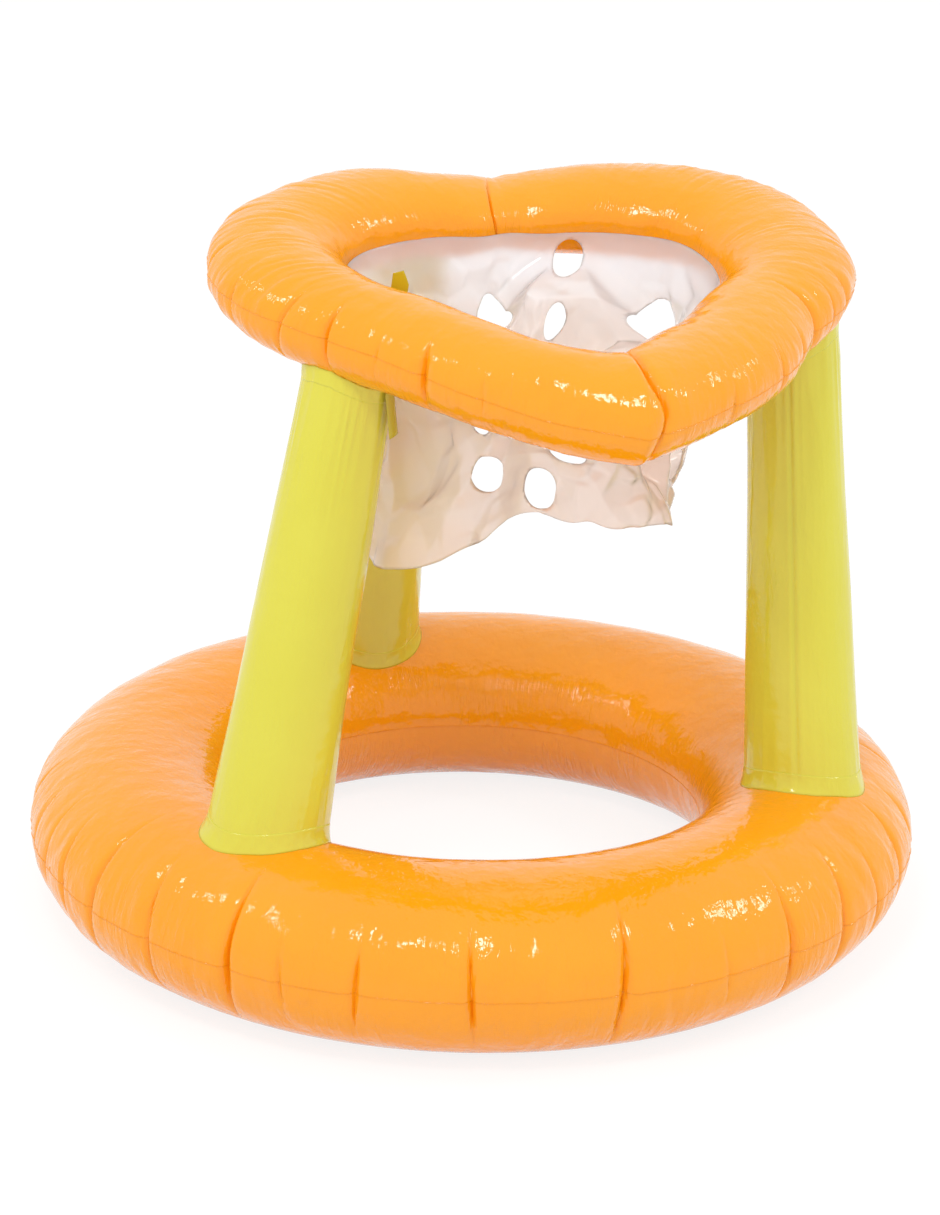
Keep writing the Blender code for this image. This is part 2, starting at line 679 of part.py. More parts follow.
def build():
    for old in list(bpy.data.objects):
        bpy.data.objects.remove(old)
    parts = make_collection("floating_hoop")
    tools = make_collection("cutters")

    ring_tree = surface_tree(
        [
            turned("ring_guide", ring_upper_profile(TUBE_STEPS * fineness), RING_STEPS * fineness, tools)
            for fineness in (1, GUIDE_FINENESS)
        ]
    )
    hoop_trees = {}
    for side in (1, -1):
        hoop_trees[side] = surface_tree(
            [
                heart_skin("hoop_guide", side, HEART_STEPS * fineness, TUBE_STEPS * fineness, tools)
                for fineness in (1, GUIDE_FINENESS)
            ]
        )

    ring_upper = turned("base_upper_film", ring_upper_profile(TUBE_STEPS), RING_STEPS, parts, ORANGE)
    add_wall(ring_upper, FILM)
    ring_lower = turned("base_lower_film", ring_lower_profile(TUBE_STEPS // 2), RING_STEPS, parts, ORANGE)
    add_wall(ring_lower, FILM)
    hoop_upper = heart_skin("hoop_upper_film", 1, HEART_STEPS, TUBE_STEPS, parts, ORANGE)
    add_wall(hoop_upper, FILM)
    hoop_lower = heart_skin("hoop_lower_film", -1, HEART_STEPS, TUBE_STEPS, parts, ORANGE)
    add_wall(hoop_lower, FILM)

    for name, *places in LEGS:
        leg = Leg(leg_ends(*places), ring_tree, hoop_trees[-1])
        pieces = (
            (name + "_leg_sleeve", leg.sleeve()),
            (name + "_foot_collar", leg.collar(True)),
            (name + "_top_collar", leg.collar(False)),
        )
        for piece_name, rings in pieces:
            piece = add_object(piece_name, loft(piece_name, rings, True), parts, LIME)
            add_wall(piece, FILM)
        if name == "left":
            build_lower_tab(leg, parts)
        vent_frame = Matrix.Translation(leg.foot)
        vent = add_cylinder(name + "_vent", VENT_RADIUS, RING_HALF_HEIGHT, ROUND_SIDES, vent_frame, tools)
        hide_tool(vent)
        cut(ring_upper, vent)

    rings = [net_ring(i / (len(NET_WIDTH_SHARES) - 1)) for i in range(len(NET_WIDTH_SHARES))]
    net = add_object("net", loft("net", rings[::-1], True), parts, CLEAR_PINK)
    add_wall(net, NET_FILM)
    cut(net, net_punches(rings, tools))
    build_upper_tab(parts)

    place, outward = ring_point(BASE_VALVE_AZIMUTH, VALVE_HEIGHT_ANGLE)
    build_valve("base", valve_frame(ring_tree, place, outward), ring_tree, ring_upper, parts, tools)
    place, outward = hoop_point(HOOP_VALVE_BEARING, VALVE_HEIGHT_ANGLE)
    build_valve("hoop", valve_frame(hoop_trees[1], place, outward), hoop_trees[1], hoop_upper, parts, tools)


build()
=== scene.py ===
"""Floating hoop game of glossy inflated film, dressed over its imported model.

Lengths are in metres. +Z is up, -Y is the front, and the origin is the middle of the base ring on
the ground.
"""

import math

import bmesh
import bpy
from mathutils import Matrix, Vector, noise
from mathutils.bvhtree import BVHTree


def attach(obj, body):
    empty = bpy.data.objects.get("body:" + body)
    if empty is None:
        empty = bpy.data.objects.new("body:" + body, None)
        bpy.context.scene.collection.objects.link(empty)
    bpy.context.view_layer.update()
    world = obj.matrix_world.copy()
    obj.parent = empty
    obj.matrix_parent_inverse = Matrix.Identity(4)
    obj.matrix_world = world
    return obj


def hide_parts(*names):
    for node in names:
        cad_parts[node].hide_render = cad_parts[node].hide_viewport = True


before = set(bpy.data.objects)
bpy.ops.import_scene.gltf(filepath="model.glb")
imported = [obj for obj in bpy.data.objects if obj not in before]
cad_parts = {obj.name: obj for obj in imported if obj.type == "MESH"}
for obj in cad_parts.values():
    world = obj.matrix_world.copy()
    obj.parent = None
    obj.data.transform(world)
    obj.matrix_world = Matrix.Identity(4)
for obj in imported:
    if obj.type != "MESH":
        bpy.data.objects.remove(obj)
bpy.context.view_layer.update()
UP = Vector((0, 0, 1))
MAIN_BODY = "floating_hoop"


# ----------------------------------------
# Camera: it stands about 2.6 m in front of the hoop and looks down on it by 20 degrees. The lens
# is long, so the sides of the ring hardly draw together.

CAMERA_PLACE = Vector((0, -2.60016, 1.17178))
CAMERA_RIGHT = Vector((0.99976151, 0.008959, 0.0199164))
CAMERA_UP = Vector((-0.02178028, 0.34240804, 0.93929886))


def add_object(name, data):
    made = bpy.data.objects.new(name, data)
    bpy.context.scene.collection.objects.link(made)
    return made


camera_data = bpy.data.cameras.new("camera")
camera_data.lens = 111.44
camera_data.sensor_width = 36
camera_data.clip_end = 60
camera = add_object("camera", camera_data)
camera_back = CAMERA_RIGHT.cross(CAMERA_UP)
camera.matrix_world = Matrix.Translation(CAMERA_PLACE) @ Matrix(
    (CAMERA_RIGHT, camera_back.cross(CAMERA_RIGHT), camera_back)
).transposed().to_4x4()
bpy.context.scene.camera = camera
bpy.context.scene.view_settings.view_transform = "Standard"


# ----------------------------------------
# Studio: a white floor under an even white surround, a small lamp over the camera and two weaker
# ones at the sides, whose reflections break up on the creased film.

WHITE = (1.0, 1.0, 1.0, 1.0)
SURROUND_LIGHT = 0.88
# Place, width and power of each lamp
LAMPS = (
    (Vector((-0.42, -1.65, 2.60)), 0.62, 17.5),
    (Vector((2.10, -0.15, 1.95)), 0.48, 7.4),
    (Vector((-1.97, -0.30, 2.30)), 0.40, 5.6),
)
LAMPS_AIM = Vector((0, 0, 0.25))
FLOOR_SIZE = 12.0
FLOOR_WHITE = (0.88, 0.88, 0.88, 1.0)
# As the camera sees it, the floor is mostly a glow, so that the ring's shadow stays faint
FLOOR_SHADED = (0.20, 0.20, 0.20, 1.0)
FLOOR_GLOW = 0.84


def set_inputs(node, values):
    for name, value in values.items():
        node.inputs[name].default_value = value


def add_node(tree, kind, values, **settings):
    """New shader node with the values of its inputs and its other settings."""
    node = tree.nodes.new("ShaderNode" + kind)
    set_inputs(node, values)
    for name, value in settings.items():
        setattr(node, name, value)
    return node


def link_nodes(tree, *pairs):
    for output, socket in pairs:
        tree.links.new(output, socket)


def new_material(name):
    material = bpy.data.materials.new(name)
    material.use_nodes = True
    return material, material.node_tree, material.node_tree.nodes["Principled BSDF"]


def seen_directly(tree):
    """1 for the camera's rays and for what gloss and clear film show of the surround, else 0."""
    path = add_node(tree, "LightPath", {}).outputs
    glossy = add_node(tree, "Math", {}, operation="MAXIMUM")
    through = add_node(tree, "Math", {}, operation="MAXIMUM")
    link_nodes(
        tree,
        (path["Is Camera Ray"], glossy.inputs[0]),
        (path["Is Glossy Ray"], glossy.inputs[1]),
        (glossy.outputs[0], through.inputs[0]),
        (path["Is Transmission Ray"], through.inputs[1]),
    )
    return through.outputs[0]


world = bpy.data.worlds.new("surround")
bpy.context.scene.world = world
world.use_nodes = True
tree = world.node_tree
tree.nodes.clear()
lit = add_node(tree, "Background", {"Color": WHITE, "Strength": SURROUND_LIGHT})
shown = add_node(tree, "Background", {"Color": WHITE, "Strength": 1.0})
either = add_node(tree, "MixShader", {})
output = add_node(tree, "OutputWorld", {})
link_nodes(
    tree,
    (seen_directly(tree), either.inputs["Fac"]),
    (lit.outputs[0], either.inputs[1]),
    (shown.outputs[0], either.inputs[2]),
    (either.outputs[0], output.inputs["Surface"]),
)

shape = bmesh.new()
bmesh.ops.create_grid(shape, x_segments=1, y_segments=1, size=FLOOR_SIZE / 2)
floor_mesh = bpy.data.meshes.new("floor")
shape.to_mesh(floor_mesh)
shape.free()
floor = add_object("floor", floor_mesh)
floor_material, tree, shader = new_material("white_floor")
set_inputs(shader, {"Base Color": FLOOR_WHITE, "Roughness": 0.9, "Specular IOR Level": 0.0})
shaded = add_node(tree, "BsdfDiffuse", {"Color": FLOOR_SHADED})
glow = add_node(tree, "Emission", {"Strength": FLOOR_GLOW})
both = add_node(tree, "AddShader", {})
either = add_node(tree, "MixShader", {})
link_nodes(
    tree,
    (shaded.outputs[0], both.inputs[0]),
    (glow.outputs[0], both.inputs[1]),
    (seen_directly(tree), either.inputs["Fac"]),
    (shader.outputs[0], either.inputs[1]),
    (both.outputs[0], either.inputs[2]),
    (either.outputs[0], tree.nodes["Material Output"].inputs["Surface"]),
)
floor_mesh.materials.append(floor_material)

for number, (place, width, power) in enumerate(LAMPS):
    lamp_data = bpy.data.lights.new("lamp_" + str(number), "AREA")
    lamp_data.shape = "DISK"
    lamp_data.size = width
    lamp_data.energy = power
    lamp = add_object("lamp_" + str(number), lamp_data)
    aim = (place - LAMPS_AIM).to_track_quat("Z", "Y").to_matrix().to_4x4()
    lamp.matrix_world = Matrix.Translation(place) @ aim


# ----------------------------------------
# Base ring: two flat rings of orange vinyl film, welded along their outer and inner edges and blown
# up. The outer edge has to draw in as the tube rounds, so the film folds into sharp pinches across
# that weld.

FILM = 0.0003
WELD_GAP = 0.0003
SEAM_HALF_GAP = FILM + 0.00003
RING_RADIUS = 0.250
RING_HALF_WIDTH = 0.0785
RING_HALF_HEIGHT = 0.0615
RING_SEAM_RADIUS = RING_RADIUS + RING_HALF_WIDTH
RING_LAP = 2 * math.pi * RING_SEAM_RADIUS
# Width of the flat band on which the ring rests
RING_REST_BAND = 0.024
FLANGE = 0.0003
RING_COLUMNS = 1240
RING_ROWS = 30
# How much the rows of the ring and of the hoop crowd towards their seams
RING_CROWDING = 0.16
HOOP_CROWDING = 0.12
SPIN_SECTORS = 40
MERGE_DISTANCE = 0.00001
SHARP_FOLD = math.radians(60)
# Pinches: azimuth in degrees, depth and half width of the sharp core in millimetres, how far up and
# down the tube they reach in degrees, and their lean along the seam in millimetres for each radian
RING_PINCHES = (
    (-167, 2.9, 2.6, 50, 36, 4),
    (-160, 3.8, 2.2, 62, 32, 2),
    (-153, 4.4, 2.1, 55, 41.6, -4),
    (-145, 5.7, 2.2, 78, 46.4, 6),
    (-133, 6, 2.2, 62, 48, -3),
    (-120.5, 9.7, 2.4, 80, 52.8, 1),
    (-113, 2.9, 1.9, 36, 32, -6),
    (-103.5, 5.7, 2.1, 40, 41.6, 3),
    (-89.5, 6.9, 2.2, 58, 46.4, -3),
    (-71, 8.8, 2.6, 66, 51.2, 5),
    (-57, 2.3, 1.9, 30, 32, -4),
    (-46.5, 6.9, 2.4, 62, 48, 2),
    (-36, 7.2, 2.4, 60, 46.4, 7),
    (-27, 3.8, 2.1, 46, 35.2, -3),
    (-18, 5.1, 2.2, 66, 40, 5),
    (-8, 4.4, 2.1, 52, 38.4, -4),
    (4, 5.7, 2.4, 72, 44.8, 4),
    (18, 8.2, 2.6, 70, 48, -4),
    (34, 6, 2.2, 58, 41.6, 4),
    (47, 5.1, 2.2, 52, 44.8, 2),
    (71, 7.2, 2.4, 66, 48, -5),
    (86, 9.1, 2.6, 76, 49.6, 4),
    (101, 5.1, 2.2, 54, 40, 3),
    (116, 7.2, 2.4, 64, 46.4, -4),
    (131, 8.5, 2.6, 72, 49.6, 5),
    (145, 4.7, 2.2, 50, 40, -2),
    (158, 6.6, 2.4, 66, 46.4, 4),
    (173, 5.7, 2.2, 60, 43.2, -3),
    (184, 4.1, 2.1, 54, 36.8, 3),
)
PINCH_REACH = 0.045
# Share of the film beside a fold that is drawn into it, and how far along the seam that acts
PINCH_PULL = 0.55
PINCH_PULL_REACH = 0.009
# Fine gathers across the seam: depth, spacing and seed
RING_GATHERS = ((0.0012, 0.013, 3.0), (0.00036, 0.0054, 9.0))
RING_SWELL = 0.0012
# Size, depth as a share of the whole and seed of the two scales of swelling
RING_SWELLS = ((0.055, 1.0, 2.0), (0.021, 0.35, 5.0))
RING_SEAM_WAVE = 0.0012
ORANGES = ((0.98, 0.380, 0.008), (0.98, 0.340, 0.004))


def bell(away, spread):
    """1 in the middle, falling smoothly to 0 either side."""
    return math.exp(-((away / spread) ** 2))


def folds_along(pinches, seam_place):
    """A table of pinches in metres and radians, with their places along the seam."""
    folds = []
    for bearing, deep, core, up, down, lean in pinches:
        place = seam_place(math.radians(bearing))
        reaches = math.radians(up), math.radians(down)
        folds.append((place, deep / 1000, core / 1000, *reaches, lean / 1000))
    return folds


def near_folds(folds, place, lap):
    """The pinches near a place along a seam, each with the step from its middle to that place."""
    steps = [((place - fold[0] + lap / 2) % lap - lap / 2, fold) for fold in folds]
    return [(step, fold) for step, fold in steps if abs(step) < PINCH_REACH]


def pinch(near, rise):
    """Depth of the pinches at an angle up the tube, and how far the film is drawn into them."""
    depth = 0.0
    drawn = 0.0
    for step, (_, deep, core, reach_up, reach_down, lean) in near:
        share = abs(rise) / (reach_up if rise > 0 else reach_down)
        if share >= 1:
            continue
        away = step - lean * rise
        pull = PINCH_PULL * bell(away, PINCH_PULL_REACH)
        drawn -= away * pull
        away = abs(away) * (1 - pull)
        fade = (1 - share * share) ** 2
        sharp = core * (0.40 + 0.60 * fade)
        depth += deep * fade * (0.80 * math.exp(-away / sharp) + 0.12 * bell(away, 2.6 * core))
    return depth, drawn


def gather(place, rise, lap, pitch, seed):
    """Fine gathers across a seam, bowed and uneven: 0 in their valleys, about 1 on their ridges."""
    turn = 2 * math.pi * place / lap
    bow = Vector((math.cos(turn) * 4, math.sin(turn) * 4, rise * 1.1 + seed * 2))
    turn += 0.03 * noise.noise(bow)
    reach = lap / (2 * math.pi * pitch)
    around = Vector((math.cos(turn) * reach, math.sin(turn) * reach, rise * 0.7 + seed))
    return abs(noise.noise(around)) * 1.6


def swell(point, size, seed):
    """Soft unevenness of a blown-up film, from about -1 to 1."""
    return noise.noise(point / size + Vector((seed, seed / 2, 0)))


def swells(point, scales):
    return sum(share * swell(point, size, seed) for size, share, seed in scales)


def crowded(share, amount):
    """A share from 0 to 1, moved towards the nearer end."""
    return share - amount * math.sin(2 * math.pi * share) / math.pi


def spun_film(profile, columns):
    """Rows of film turned about Z. profile is a list of (radius, height, angle up the tube).

    One sector is spun first and then copied round, which is far quicker than a single long spin.
    """
    shape = bmesh.new()
    rise_layer = shape.verts.layers.float.new("rise")
    row = []
    for radius, height, rise in profile:
        vert = shape.verts.new((radius, 0, height))
        vert[rise_layer] = rise
        row.append(vert)
    edges = [shape.edges.new(pair) for pair in zip(row, row[1:])]
    sector = 2 * math.pi / SPIN_SECTORS
    axis = {"cent": (0, 0, 0), "axis": (0, 0, 1)}
    steps = columns // SPIN_SECTORS
    bmesh.ops.spin(shape, geom=row + edges, angle=sector, steps=steps, **axis)
    whole = shape.verts[:] + shape.edges[:] + shape.faces[:]
    rest = SPIN_SECTORS - 1
    bmesh.ops.spin(shape, geom=whole, angle=sector * rest, steps=rest, use_duplicate=True, **axis)
    bmesh.ops.remove_doubles(shape, verts=shape.verts, dist=MERGE_DISTANCE)
    bmesh.ops.recalc_face_normals(shape, faces=shape.faces)
    return shape, rise_layer


def lay_map(shape, rise_layer, around, across):
    """The film's own map, in metres: along the seam and across the tube."""
    film_map = shape.loops.layers.uv.new("film")
    for face in shape.faces:
        turns = [math.atan2(loop.vert.co.y, loop.vert.co.x) for loop in face.loops]
        wraps = max(turns) - min(turns) > math.pi
        for loop, turn in zip(face.loops, turns):
            if wraps and turn < 0:
                turn += 2 * math.pi
            loop[film_map].uv = (turn * around, loop.vert[rise_layer] * across)


def smooth_object(name, shape, material):
    mesh = bpy.data.meshes.new(name)
    shape.to_mesh(mesh)
    shape.free()
    mesh.shade_smooth()
    mesh.materials.append(material)
    return add_object(name, mesh)


def finish_film(name, shape, material, thickness=FILM):
    """Object of one film piece, with its thickness inwards from the modelled face."""
    piece = smooth_object(name, shape, material)
    piece.data.set_sharp_from_angle(angle=SHARP_FOLD)
    wall = piece.modifiers.new("wall", "SOLIDIFY")
    wall.thickness = thickness
    wall.offset = -1
    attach(piece, MAIN_BODY)
    return piece


def face_outwards(shape, inside):
    """Turns the faces to look away from the points that inside() gives for their middles."""
    bmesh.ops.recalc_face_normals(shape, faces=shape.faces)
    shape.normal_update()
    middles = [(face.normal, face.calc_center_median()) for face in shape.faces]
    if sum(normal.dot(middle - inside(middle)) for normal, middle in middles) < 0:
        bmesh.ops.reverse_faces(shape, faces=shape.faces)


def add_noise(tree, coordinates, values, **settings):
    """Value of a noise texture over some coordinates."""
    node = add_node(tree, "TexNoise", values, **settings)
    tree.links.new(coordinates, node.inputs["Vector"])
    return node.outputs["Fac"]


def add_ramp(tree, value, low, high, start=0.0, end=1.0):
    """start where a value is at low, end where it is at high."""
    values = {"From Min": low, "From Max": high, "To Min": start, "To Max": end}
    node = add_node(tree, "MapRange", values)
    tree.links.new(value, node.inputs["Value"])
    return node.outputs["Result"]


def add_bump(tree, height, strength, distance):
    node = add_node(tree, "Bump", {"Strength": strength, "Distance": distance})
    tree.links.new(height, node.inputs["Height"])
    return node


def blend_colours(tree, shader, factor, low, high):
    """Colours a shader from low to high by a factor."""
    tint = add_node(tree, "Mix", {6: (*low, 1.0), 7: (*high, 1.0)}, data_type="RGBA")
    link_nodes(
        tree, (factor, tint.inputs["Factor"]), (tint.outputs[2], shader.inputs["Base Color"])
    )


def film_material(name, colours, roughness, crinkle):
    """Glossy soft vinyl, uneven in colour and gloss, crinkled on its sides and smooth on top."""
    material, tree, shader = new_material(name)
    shader.inputs["IOR"].default_value = 1.5
    place = add_node(tree, "TexCoord", {}).outputs
    cloud = add_noise(tree, place["Object"], {"Scale": 14, "Detail": 3})
    blend_colours(tree, shader, cloud, *colours)
    haze = add_noise(tree, place["Object"], {"Scale": 45, "Detail": 4})
    gloss = add_ramp(tree, haze, 0.35, 0.65, roughness * 0.7, roughness * 1.3)

    # Fine lines across the seams, in patches
    own_map = add_node(tree, "UVMap", {}, uv_map="film")
    stretch = add_node(tree, "Mapping", {"Rotation": (0, 0, 0.22), "Scale": (230, 44, 1)})
    drawn_out = {"Scale": 1, "Detail": 2, "Roughness": 0.5, "Distortion": 0.6}
    lines = add_noise(tree, stretch.outputs["Vector"], drawn_out)
    where = add_noise(tree, place["Object"], {"Scale": 19, "Detail": 2})
    patches = add_ramp(tree, where, 0.45, 0.60, 0.16)
    in_patches = add_node(tree, "Math", {}, operation="MULTIPLY")
    gathered = add_bump(tree, in_patches.outputs[0], 1.0, crinkle)
    # The air stretches them smooth where the film faces up
    facing = add_node(tree, "SeparateXYZ", {})
    slack = add_ramp(tree, facing.outputs["Z"], 0.84, 0.58, 0.06, 0.9)
    waves = add_bump(tree, haze, 0.8, crinkle * 2.2)
    link_nodes(
        tree,
        (gloss, shader.inputs["Roughness"]),
        (own_map.outputs["UV"], stretch.inputs["Vector"]),
        (lines, in_patches.inputs[0]),
        (patches, in_patches.inputs[1]),
        (place["Normal"], facing.inputs[0]),
        (slack, gathered.inputs["Strength"]),
        (gathered.outputs["Normal"], waves.inputs["Normal"]),
        (waves.outputs["Normal"], shader.inputs["Normal"]),
    )
    return material


def frame_at(origin, axis, side):
    """A frame with its Z along axis and its X as near to side as that allows."""
    z = axis.normalized()
    y = z.cross(side).normalized()
    return Matrix.Translation(origin) @ Matrix((y.cross(z), y, z)).transposed().to_4x4()


# Where a valve sits on its chamber: place, direction outwards, and radius of the film's bend up the
# tube and along it
BASE_VALVE = (Vector((0.169529, 0.271303, 0.089647)), Vector((0.433437, 0.700952, 0.566391)))
HOOP_VALVE = (Vector((0.124312, 0.146281, 0.519380)), Vector((0.032443, 0.690778, 0.722339)))
VALVE_SEATS = {"base": (*BASE_VALVE, 0.057, 0.388), "hoop": (*HOOP_VALVE, 0.034, 0.280)}
# The film is drawn smooth under the plate, and less and less beyond it
VALVE_FLAT_RADIUS = 0.0125
VALVE_BLEND_RADIUS = 0.0200
FILM_HOLE_RADIUS = 0.0060
SEAM_KEPT_RISE = 0.25


def bent(spot, bends):
    """Height of the film in a valve's frame, at a spot beside the stem."""
    return -spot.x * spot.x / (2 * bends[0]) - spot.y * spot.y / (2 * bends[1])


def open_for_valve(shape, rise_layer, name):
    """Draws the film smooth under a valve's plate and cuts the hole for its stem."""
    place, outward, *bends = VALVE_SEATS[name]
    valve = frame_at(place, outward, UP)
    local = valve.inverted()

    def off_axis(point):
        spot = local @ point
        return spot.xy.length if abs(spot.z) < VALVE_BLEND_RADIUS else 1.0

    near = {
        face for face in shape.faces if off_axis(face.calc_center_median()) < VALVE_BLEND_RADIUS
    }
    edges = [edge for edge in shape.edges if any(face in near for face in edge.link_faces)]
    bmesh.ops.subdivide_edges(shape, edges=edges, cuts=3, use_grid_fill=True)
    for vert in shape.verts:
        away = off_axis(vert.co)
        if away < VALVE_BLEND_RADIUS:
            spot = local @ vert.co
            part = (VALVE_BLEND_RADIUS - away) / (VALVE_BLEND_RADIUS - VALVE_FLAT_RADIUS)
            part = min(1.0, part) * min(1.0, vert[rise_layer] / SEAM_KEPT_RISE)
            spot.z += (bent(spot, bends) - spot.z) * part * part * (3 - 2 * part)
            vert.co = valve @ spot
    cut = [
        face for face in shape.faces
        if any(off_axis(vert.co) < FILM_HOLE_RADIUS for vert in face.verts)
    ]
    bmesh.ops.delete(shape, geom=cut, context="FACES")
    for vert in shape.verts:
        if vert.is_boundary and off_axis(vert.co) < VALVE_FLAT_RADIUS:
            spot = local @ vert.co
            spot.xy = spot.xy.normalized() * FILM_HOLE_RADIUS
            spot.z = bent(spot, bends)
            vert.co = valve @ spot


def ring_profile(side):
    """Section of one film, from the outer flange to the inner one. side is 1 for the upper one."""
    seam = RING_HALF_HEIGHT + side * SEAM_HALF_GAP
    span = RING_HALF_HEIGHT - SEAM_HALF_GAP
    band = RING_REST_BAND / 2
    points = [(RING_SEAM_RADIUS + FLANGE, seam, 0.0)]
    for i in range(RING_ROWS + 1):
        angle = math.pi * crowded(i / RING_ROWS, RING_CROWDING)
        across = math.cos(angle)
        if side > 0:
            radius = RING_RADIUS + RING_HALF_WIDTH * across
            height = seam + span * math.sin(angle)
        else:
            radius = RING_RADIUS + (RING_HALF_WIDTH - band) * across + math.copysign(band, across)
            height = seam * (1 - math.sin(angle))
        points.append((radius, height, side * angle))
    points.append((RING_RADIUS - RING_HALF_WIDTH - FLANGE, seam, side * math.pi))
    return points


ring_folds = folds_along(RING_PINCHES, lambda azimuth: azimuth * RING_SEAM_RADIUS)
orange_film = film_material("orange_vinyl_film", ORANGES, 0.085, 0.00135)


def press_ring(shape, rise_layer):
    """Pinches, gathers and swells of the base ring's film."""
    columns = {}
    for vert in shape.verts:
        rise = vert[rise_layer]
        turn = math.atan2(vert.co.y, vert.co.x)
        place = turn * RING_SEAM_RADIUS
        key = round(turn, 4)
        if key not in columns:
            columns[key] = near_folds(ring_folds, place, RING_LAP)
        inwards, drawn = pinch(columns[key], rise)
        patchy = max(0.0, math.cos(rise * 1.5)) * max(0.2, 0.8 + 1.2 * swell(vert.co, 0.07, 8.0))
        for depth, pitch, seed in RING_GATHERS:
            inwards += depth * patchy * (0.5 - gather(place, rise, RING_LAP, pitch, seed))
        near_seam = max(0.0, math.cos(rise * 0.95))
        loose = 0.35 + 0.65 * near_seam if rise > -0.9 else 0.0
        inwards -= RING_SWELL * loose * swells(vert.co, RING_SWELLS)
        turn += drawn / RING_SEAM_RADIUS
        out = Vector((math.cos(turn), math.sin(turn), 0))
        outward = out * math.cos(rise) + UP * math.sin(rise)
        vert.co = out * vert.co.xy.length + UP * vert.co.z - outward * max(inwards, -0.002)
        wave = noise.noise(Vector((out.x * 5, out.y * 5, 1.7)))
        vert.co.z += RING_SEAM_WAVE * max(0.0, math.cos(rise)) ** 2 * wave
        vert.co.z = max(vert.co.z, 0.0)


def ring_middle(place):
    """The middle of the ring's tube nearest to a place on its film."""
    return (place * Vector((1, 1, 0))).normalized() * RING_RADIUS + UP * RING_HALF_HEIGHT


def build_chamber(name, profile, columns, map_size, press, middle):
    """The two films of a chamber. The upper one is open for the valve."""
    films = []
    for side, word in ((1, "_upper_"), (-1, "_lower_")):
        shape, rise_layer = spun_film(profile(side), columns)
        lay_map(shape, rise_layer, *map_size)
        press(shape, rise_layer)
        if side > 0:
            open_for_valve(shape, rise_layer, name)
        face_outwards(shape, middle)
        film = finish_film(name + word + "skin", shape, orange_film)
        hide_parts(name + word + "film")
        films.append(film)
    return films


map_size = (RING_SEAM_RADIUS, RING_HALF_WIDTH)
ring_films = build_chamber("base", ring_profile, RING_COLUMNS, map_size, press_ring, ring_middle)


# ----------------------------------------
# Hoop ring: the same two-film tube in the outline of a heart, notch at the back and point at the
# front. It slopes down to the front. The film mitres into deep folds at the notch and at the point.

HOOP_CENTRE = Vector((0.044, -0.0435, 0.480))
HOOP_REACH = 0.246
HOOP_HALF_HEIGHT = 0.0335
HOOP_NOTCH_TURN = math.radians(15.8)
HOOP_RISE_SHARES = (-0.05, 0.15)
HOOP_COLUMNS = 1120
HOOP_ROWS = 24
# Outer and inner seam from the hoop's middle and the tube's height, every 15 degrees from notch to
# point, down the right side and then down the left
HEART_OUTER_SHARES = (
    (0.681, 0.739, 0.824, 0.913, 0.984, 0.973, 0.936, 0.861, 0.791, 0.807, 0.842, 0.897, 0.991),
    (0.681, 0.741, 0.870, 0.914, 0.966, 0.968, 0.933, 0.856, 0.792, 0.777, 0.810, 0.889, 0.991),
)
HEART_INNER_SHARES = (
    (0.395, 0.392, 0.436, 0.494, 0.556, 0.551, 0.525, 0.491, 0.449, 0.447, 0.474, 0.512, 0.613),
    (0.395, 0.389, 0.446, 0.504, 0.561, 0.575, 0.532, 0.478, 0.432, 0.428, 0.470, 0.559, 0.613),
)
HEART_HEIGHT_SHARES = (0.72, 0.85, 0.94, 0.98, 1.0, 1.0, 1.0, 0.98, 0.96, 0.96, 0.97, 1.0, 1.03)
# As for the base ring, at bearings from the notch
HOOP_PINCHES = (
    (15, 3.3, 2.1, 58, 40, 3),
    (-17, 2.7, 1.9, 52, 40, -3),
    (31, 4.2, 2.1, 62, 43.2, -3),
    (-34, 3.9, 2.1, 60, 43.2, 3),
    (48, 3.3, 1.9, 70, 40, 3),
    (-50, 3.3, 1.9, 74, 41.6, -2),
    (62, 4.5, 2.1, 80, 44.8, -4),
    (-64, 3.6, 1.9, 80, 44.8, 3),
    (75, 3, 1.9, 66, 40, 3),
    (-77, 3.9, 2.1, 66, 44.8, -3),
    (88, 7.8, 2.6, 86, 52.8, -4),
    (-91, 3.6, 2.1, 56, 44.8, 4),
    (103, 3.9, 2.1, 60, 44.8, 3),
    (-104, 5.1, 2.1, 62, 49.6, -3),
    (111, 3, 2.1, 50, 41.6, -3),
    (-114.5, 7.2, 2.2, 66, 52.8, 4),
    (119.5, 9.6, 2.4, 84, 60.8, -2),
    (131, 2.7, 2, 46, 40, 3),
    (-127, 1.8, 1.9, 36, 35.2, 0),
    (-138.5, 7.8, 2.4, 58, 57.6, 3),
    (143, 2.7, 2.1, 44, 38.4, 2),
    (-152, 2.1, 2.1, 32, 36.8, 2),
    (160, 2.1, 2.1, 34, 35.2, -2),
)
# Mitres: bearing, depth, how far back the left tube's end rounds off and how far the right one's
# film slackens. Then, by the angle up the tube: where the crease is deepest, how far it reaches and
# its least share of the depth. Last, how far it runs to the right of the tube's middle, and how
# much more at an angle, that angle and its spread
HOOP_MITRES = (
    (180, 0.0085, 0.0065, 0.0034, 55, 75, 0.20, 0.0065, 0.0095, 22, 30),
    (0, 0.0042, 0.0040, 0.0013, 142, 50, 0.03, 0.0, -0.0210, 150, 75),
)
MITRE_REACH = 0.05
MITRE_PULL = 0.62
MITRE_PULL_REACH = 0.012
# Where the outline bends most: bearing and spread in degrees, depth of the gathers on top
HOOP_LOBES = ((-72, 34, 0.0010), (66, 36, 0.0010), (0, 18, 0.0004))
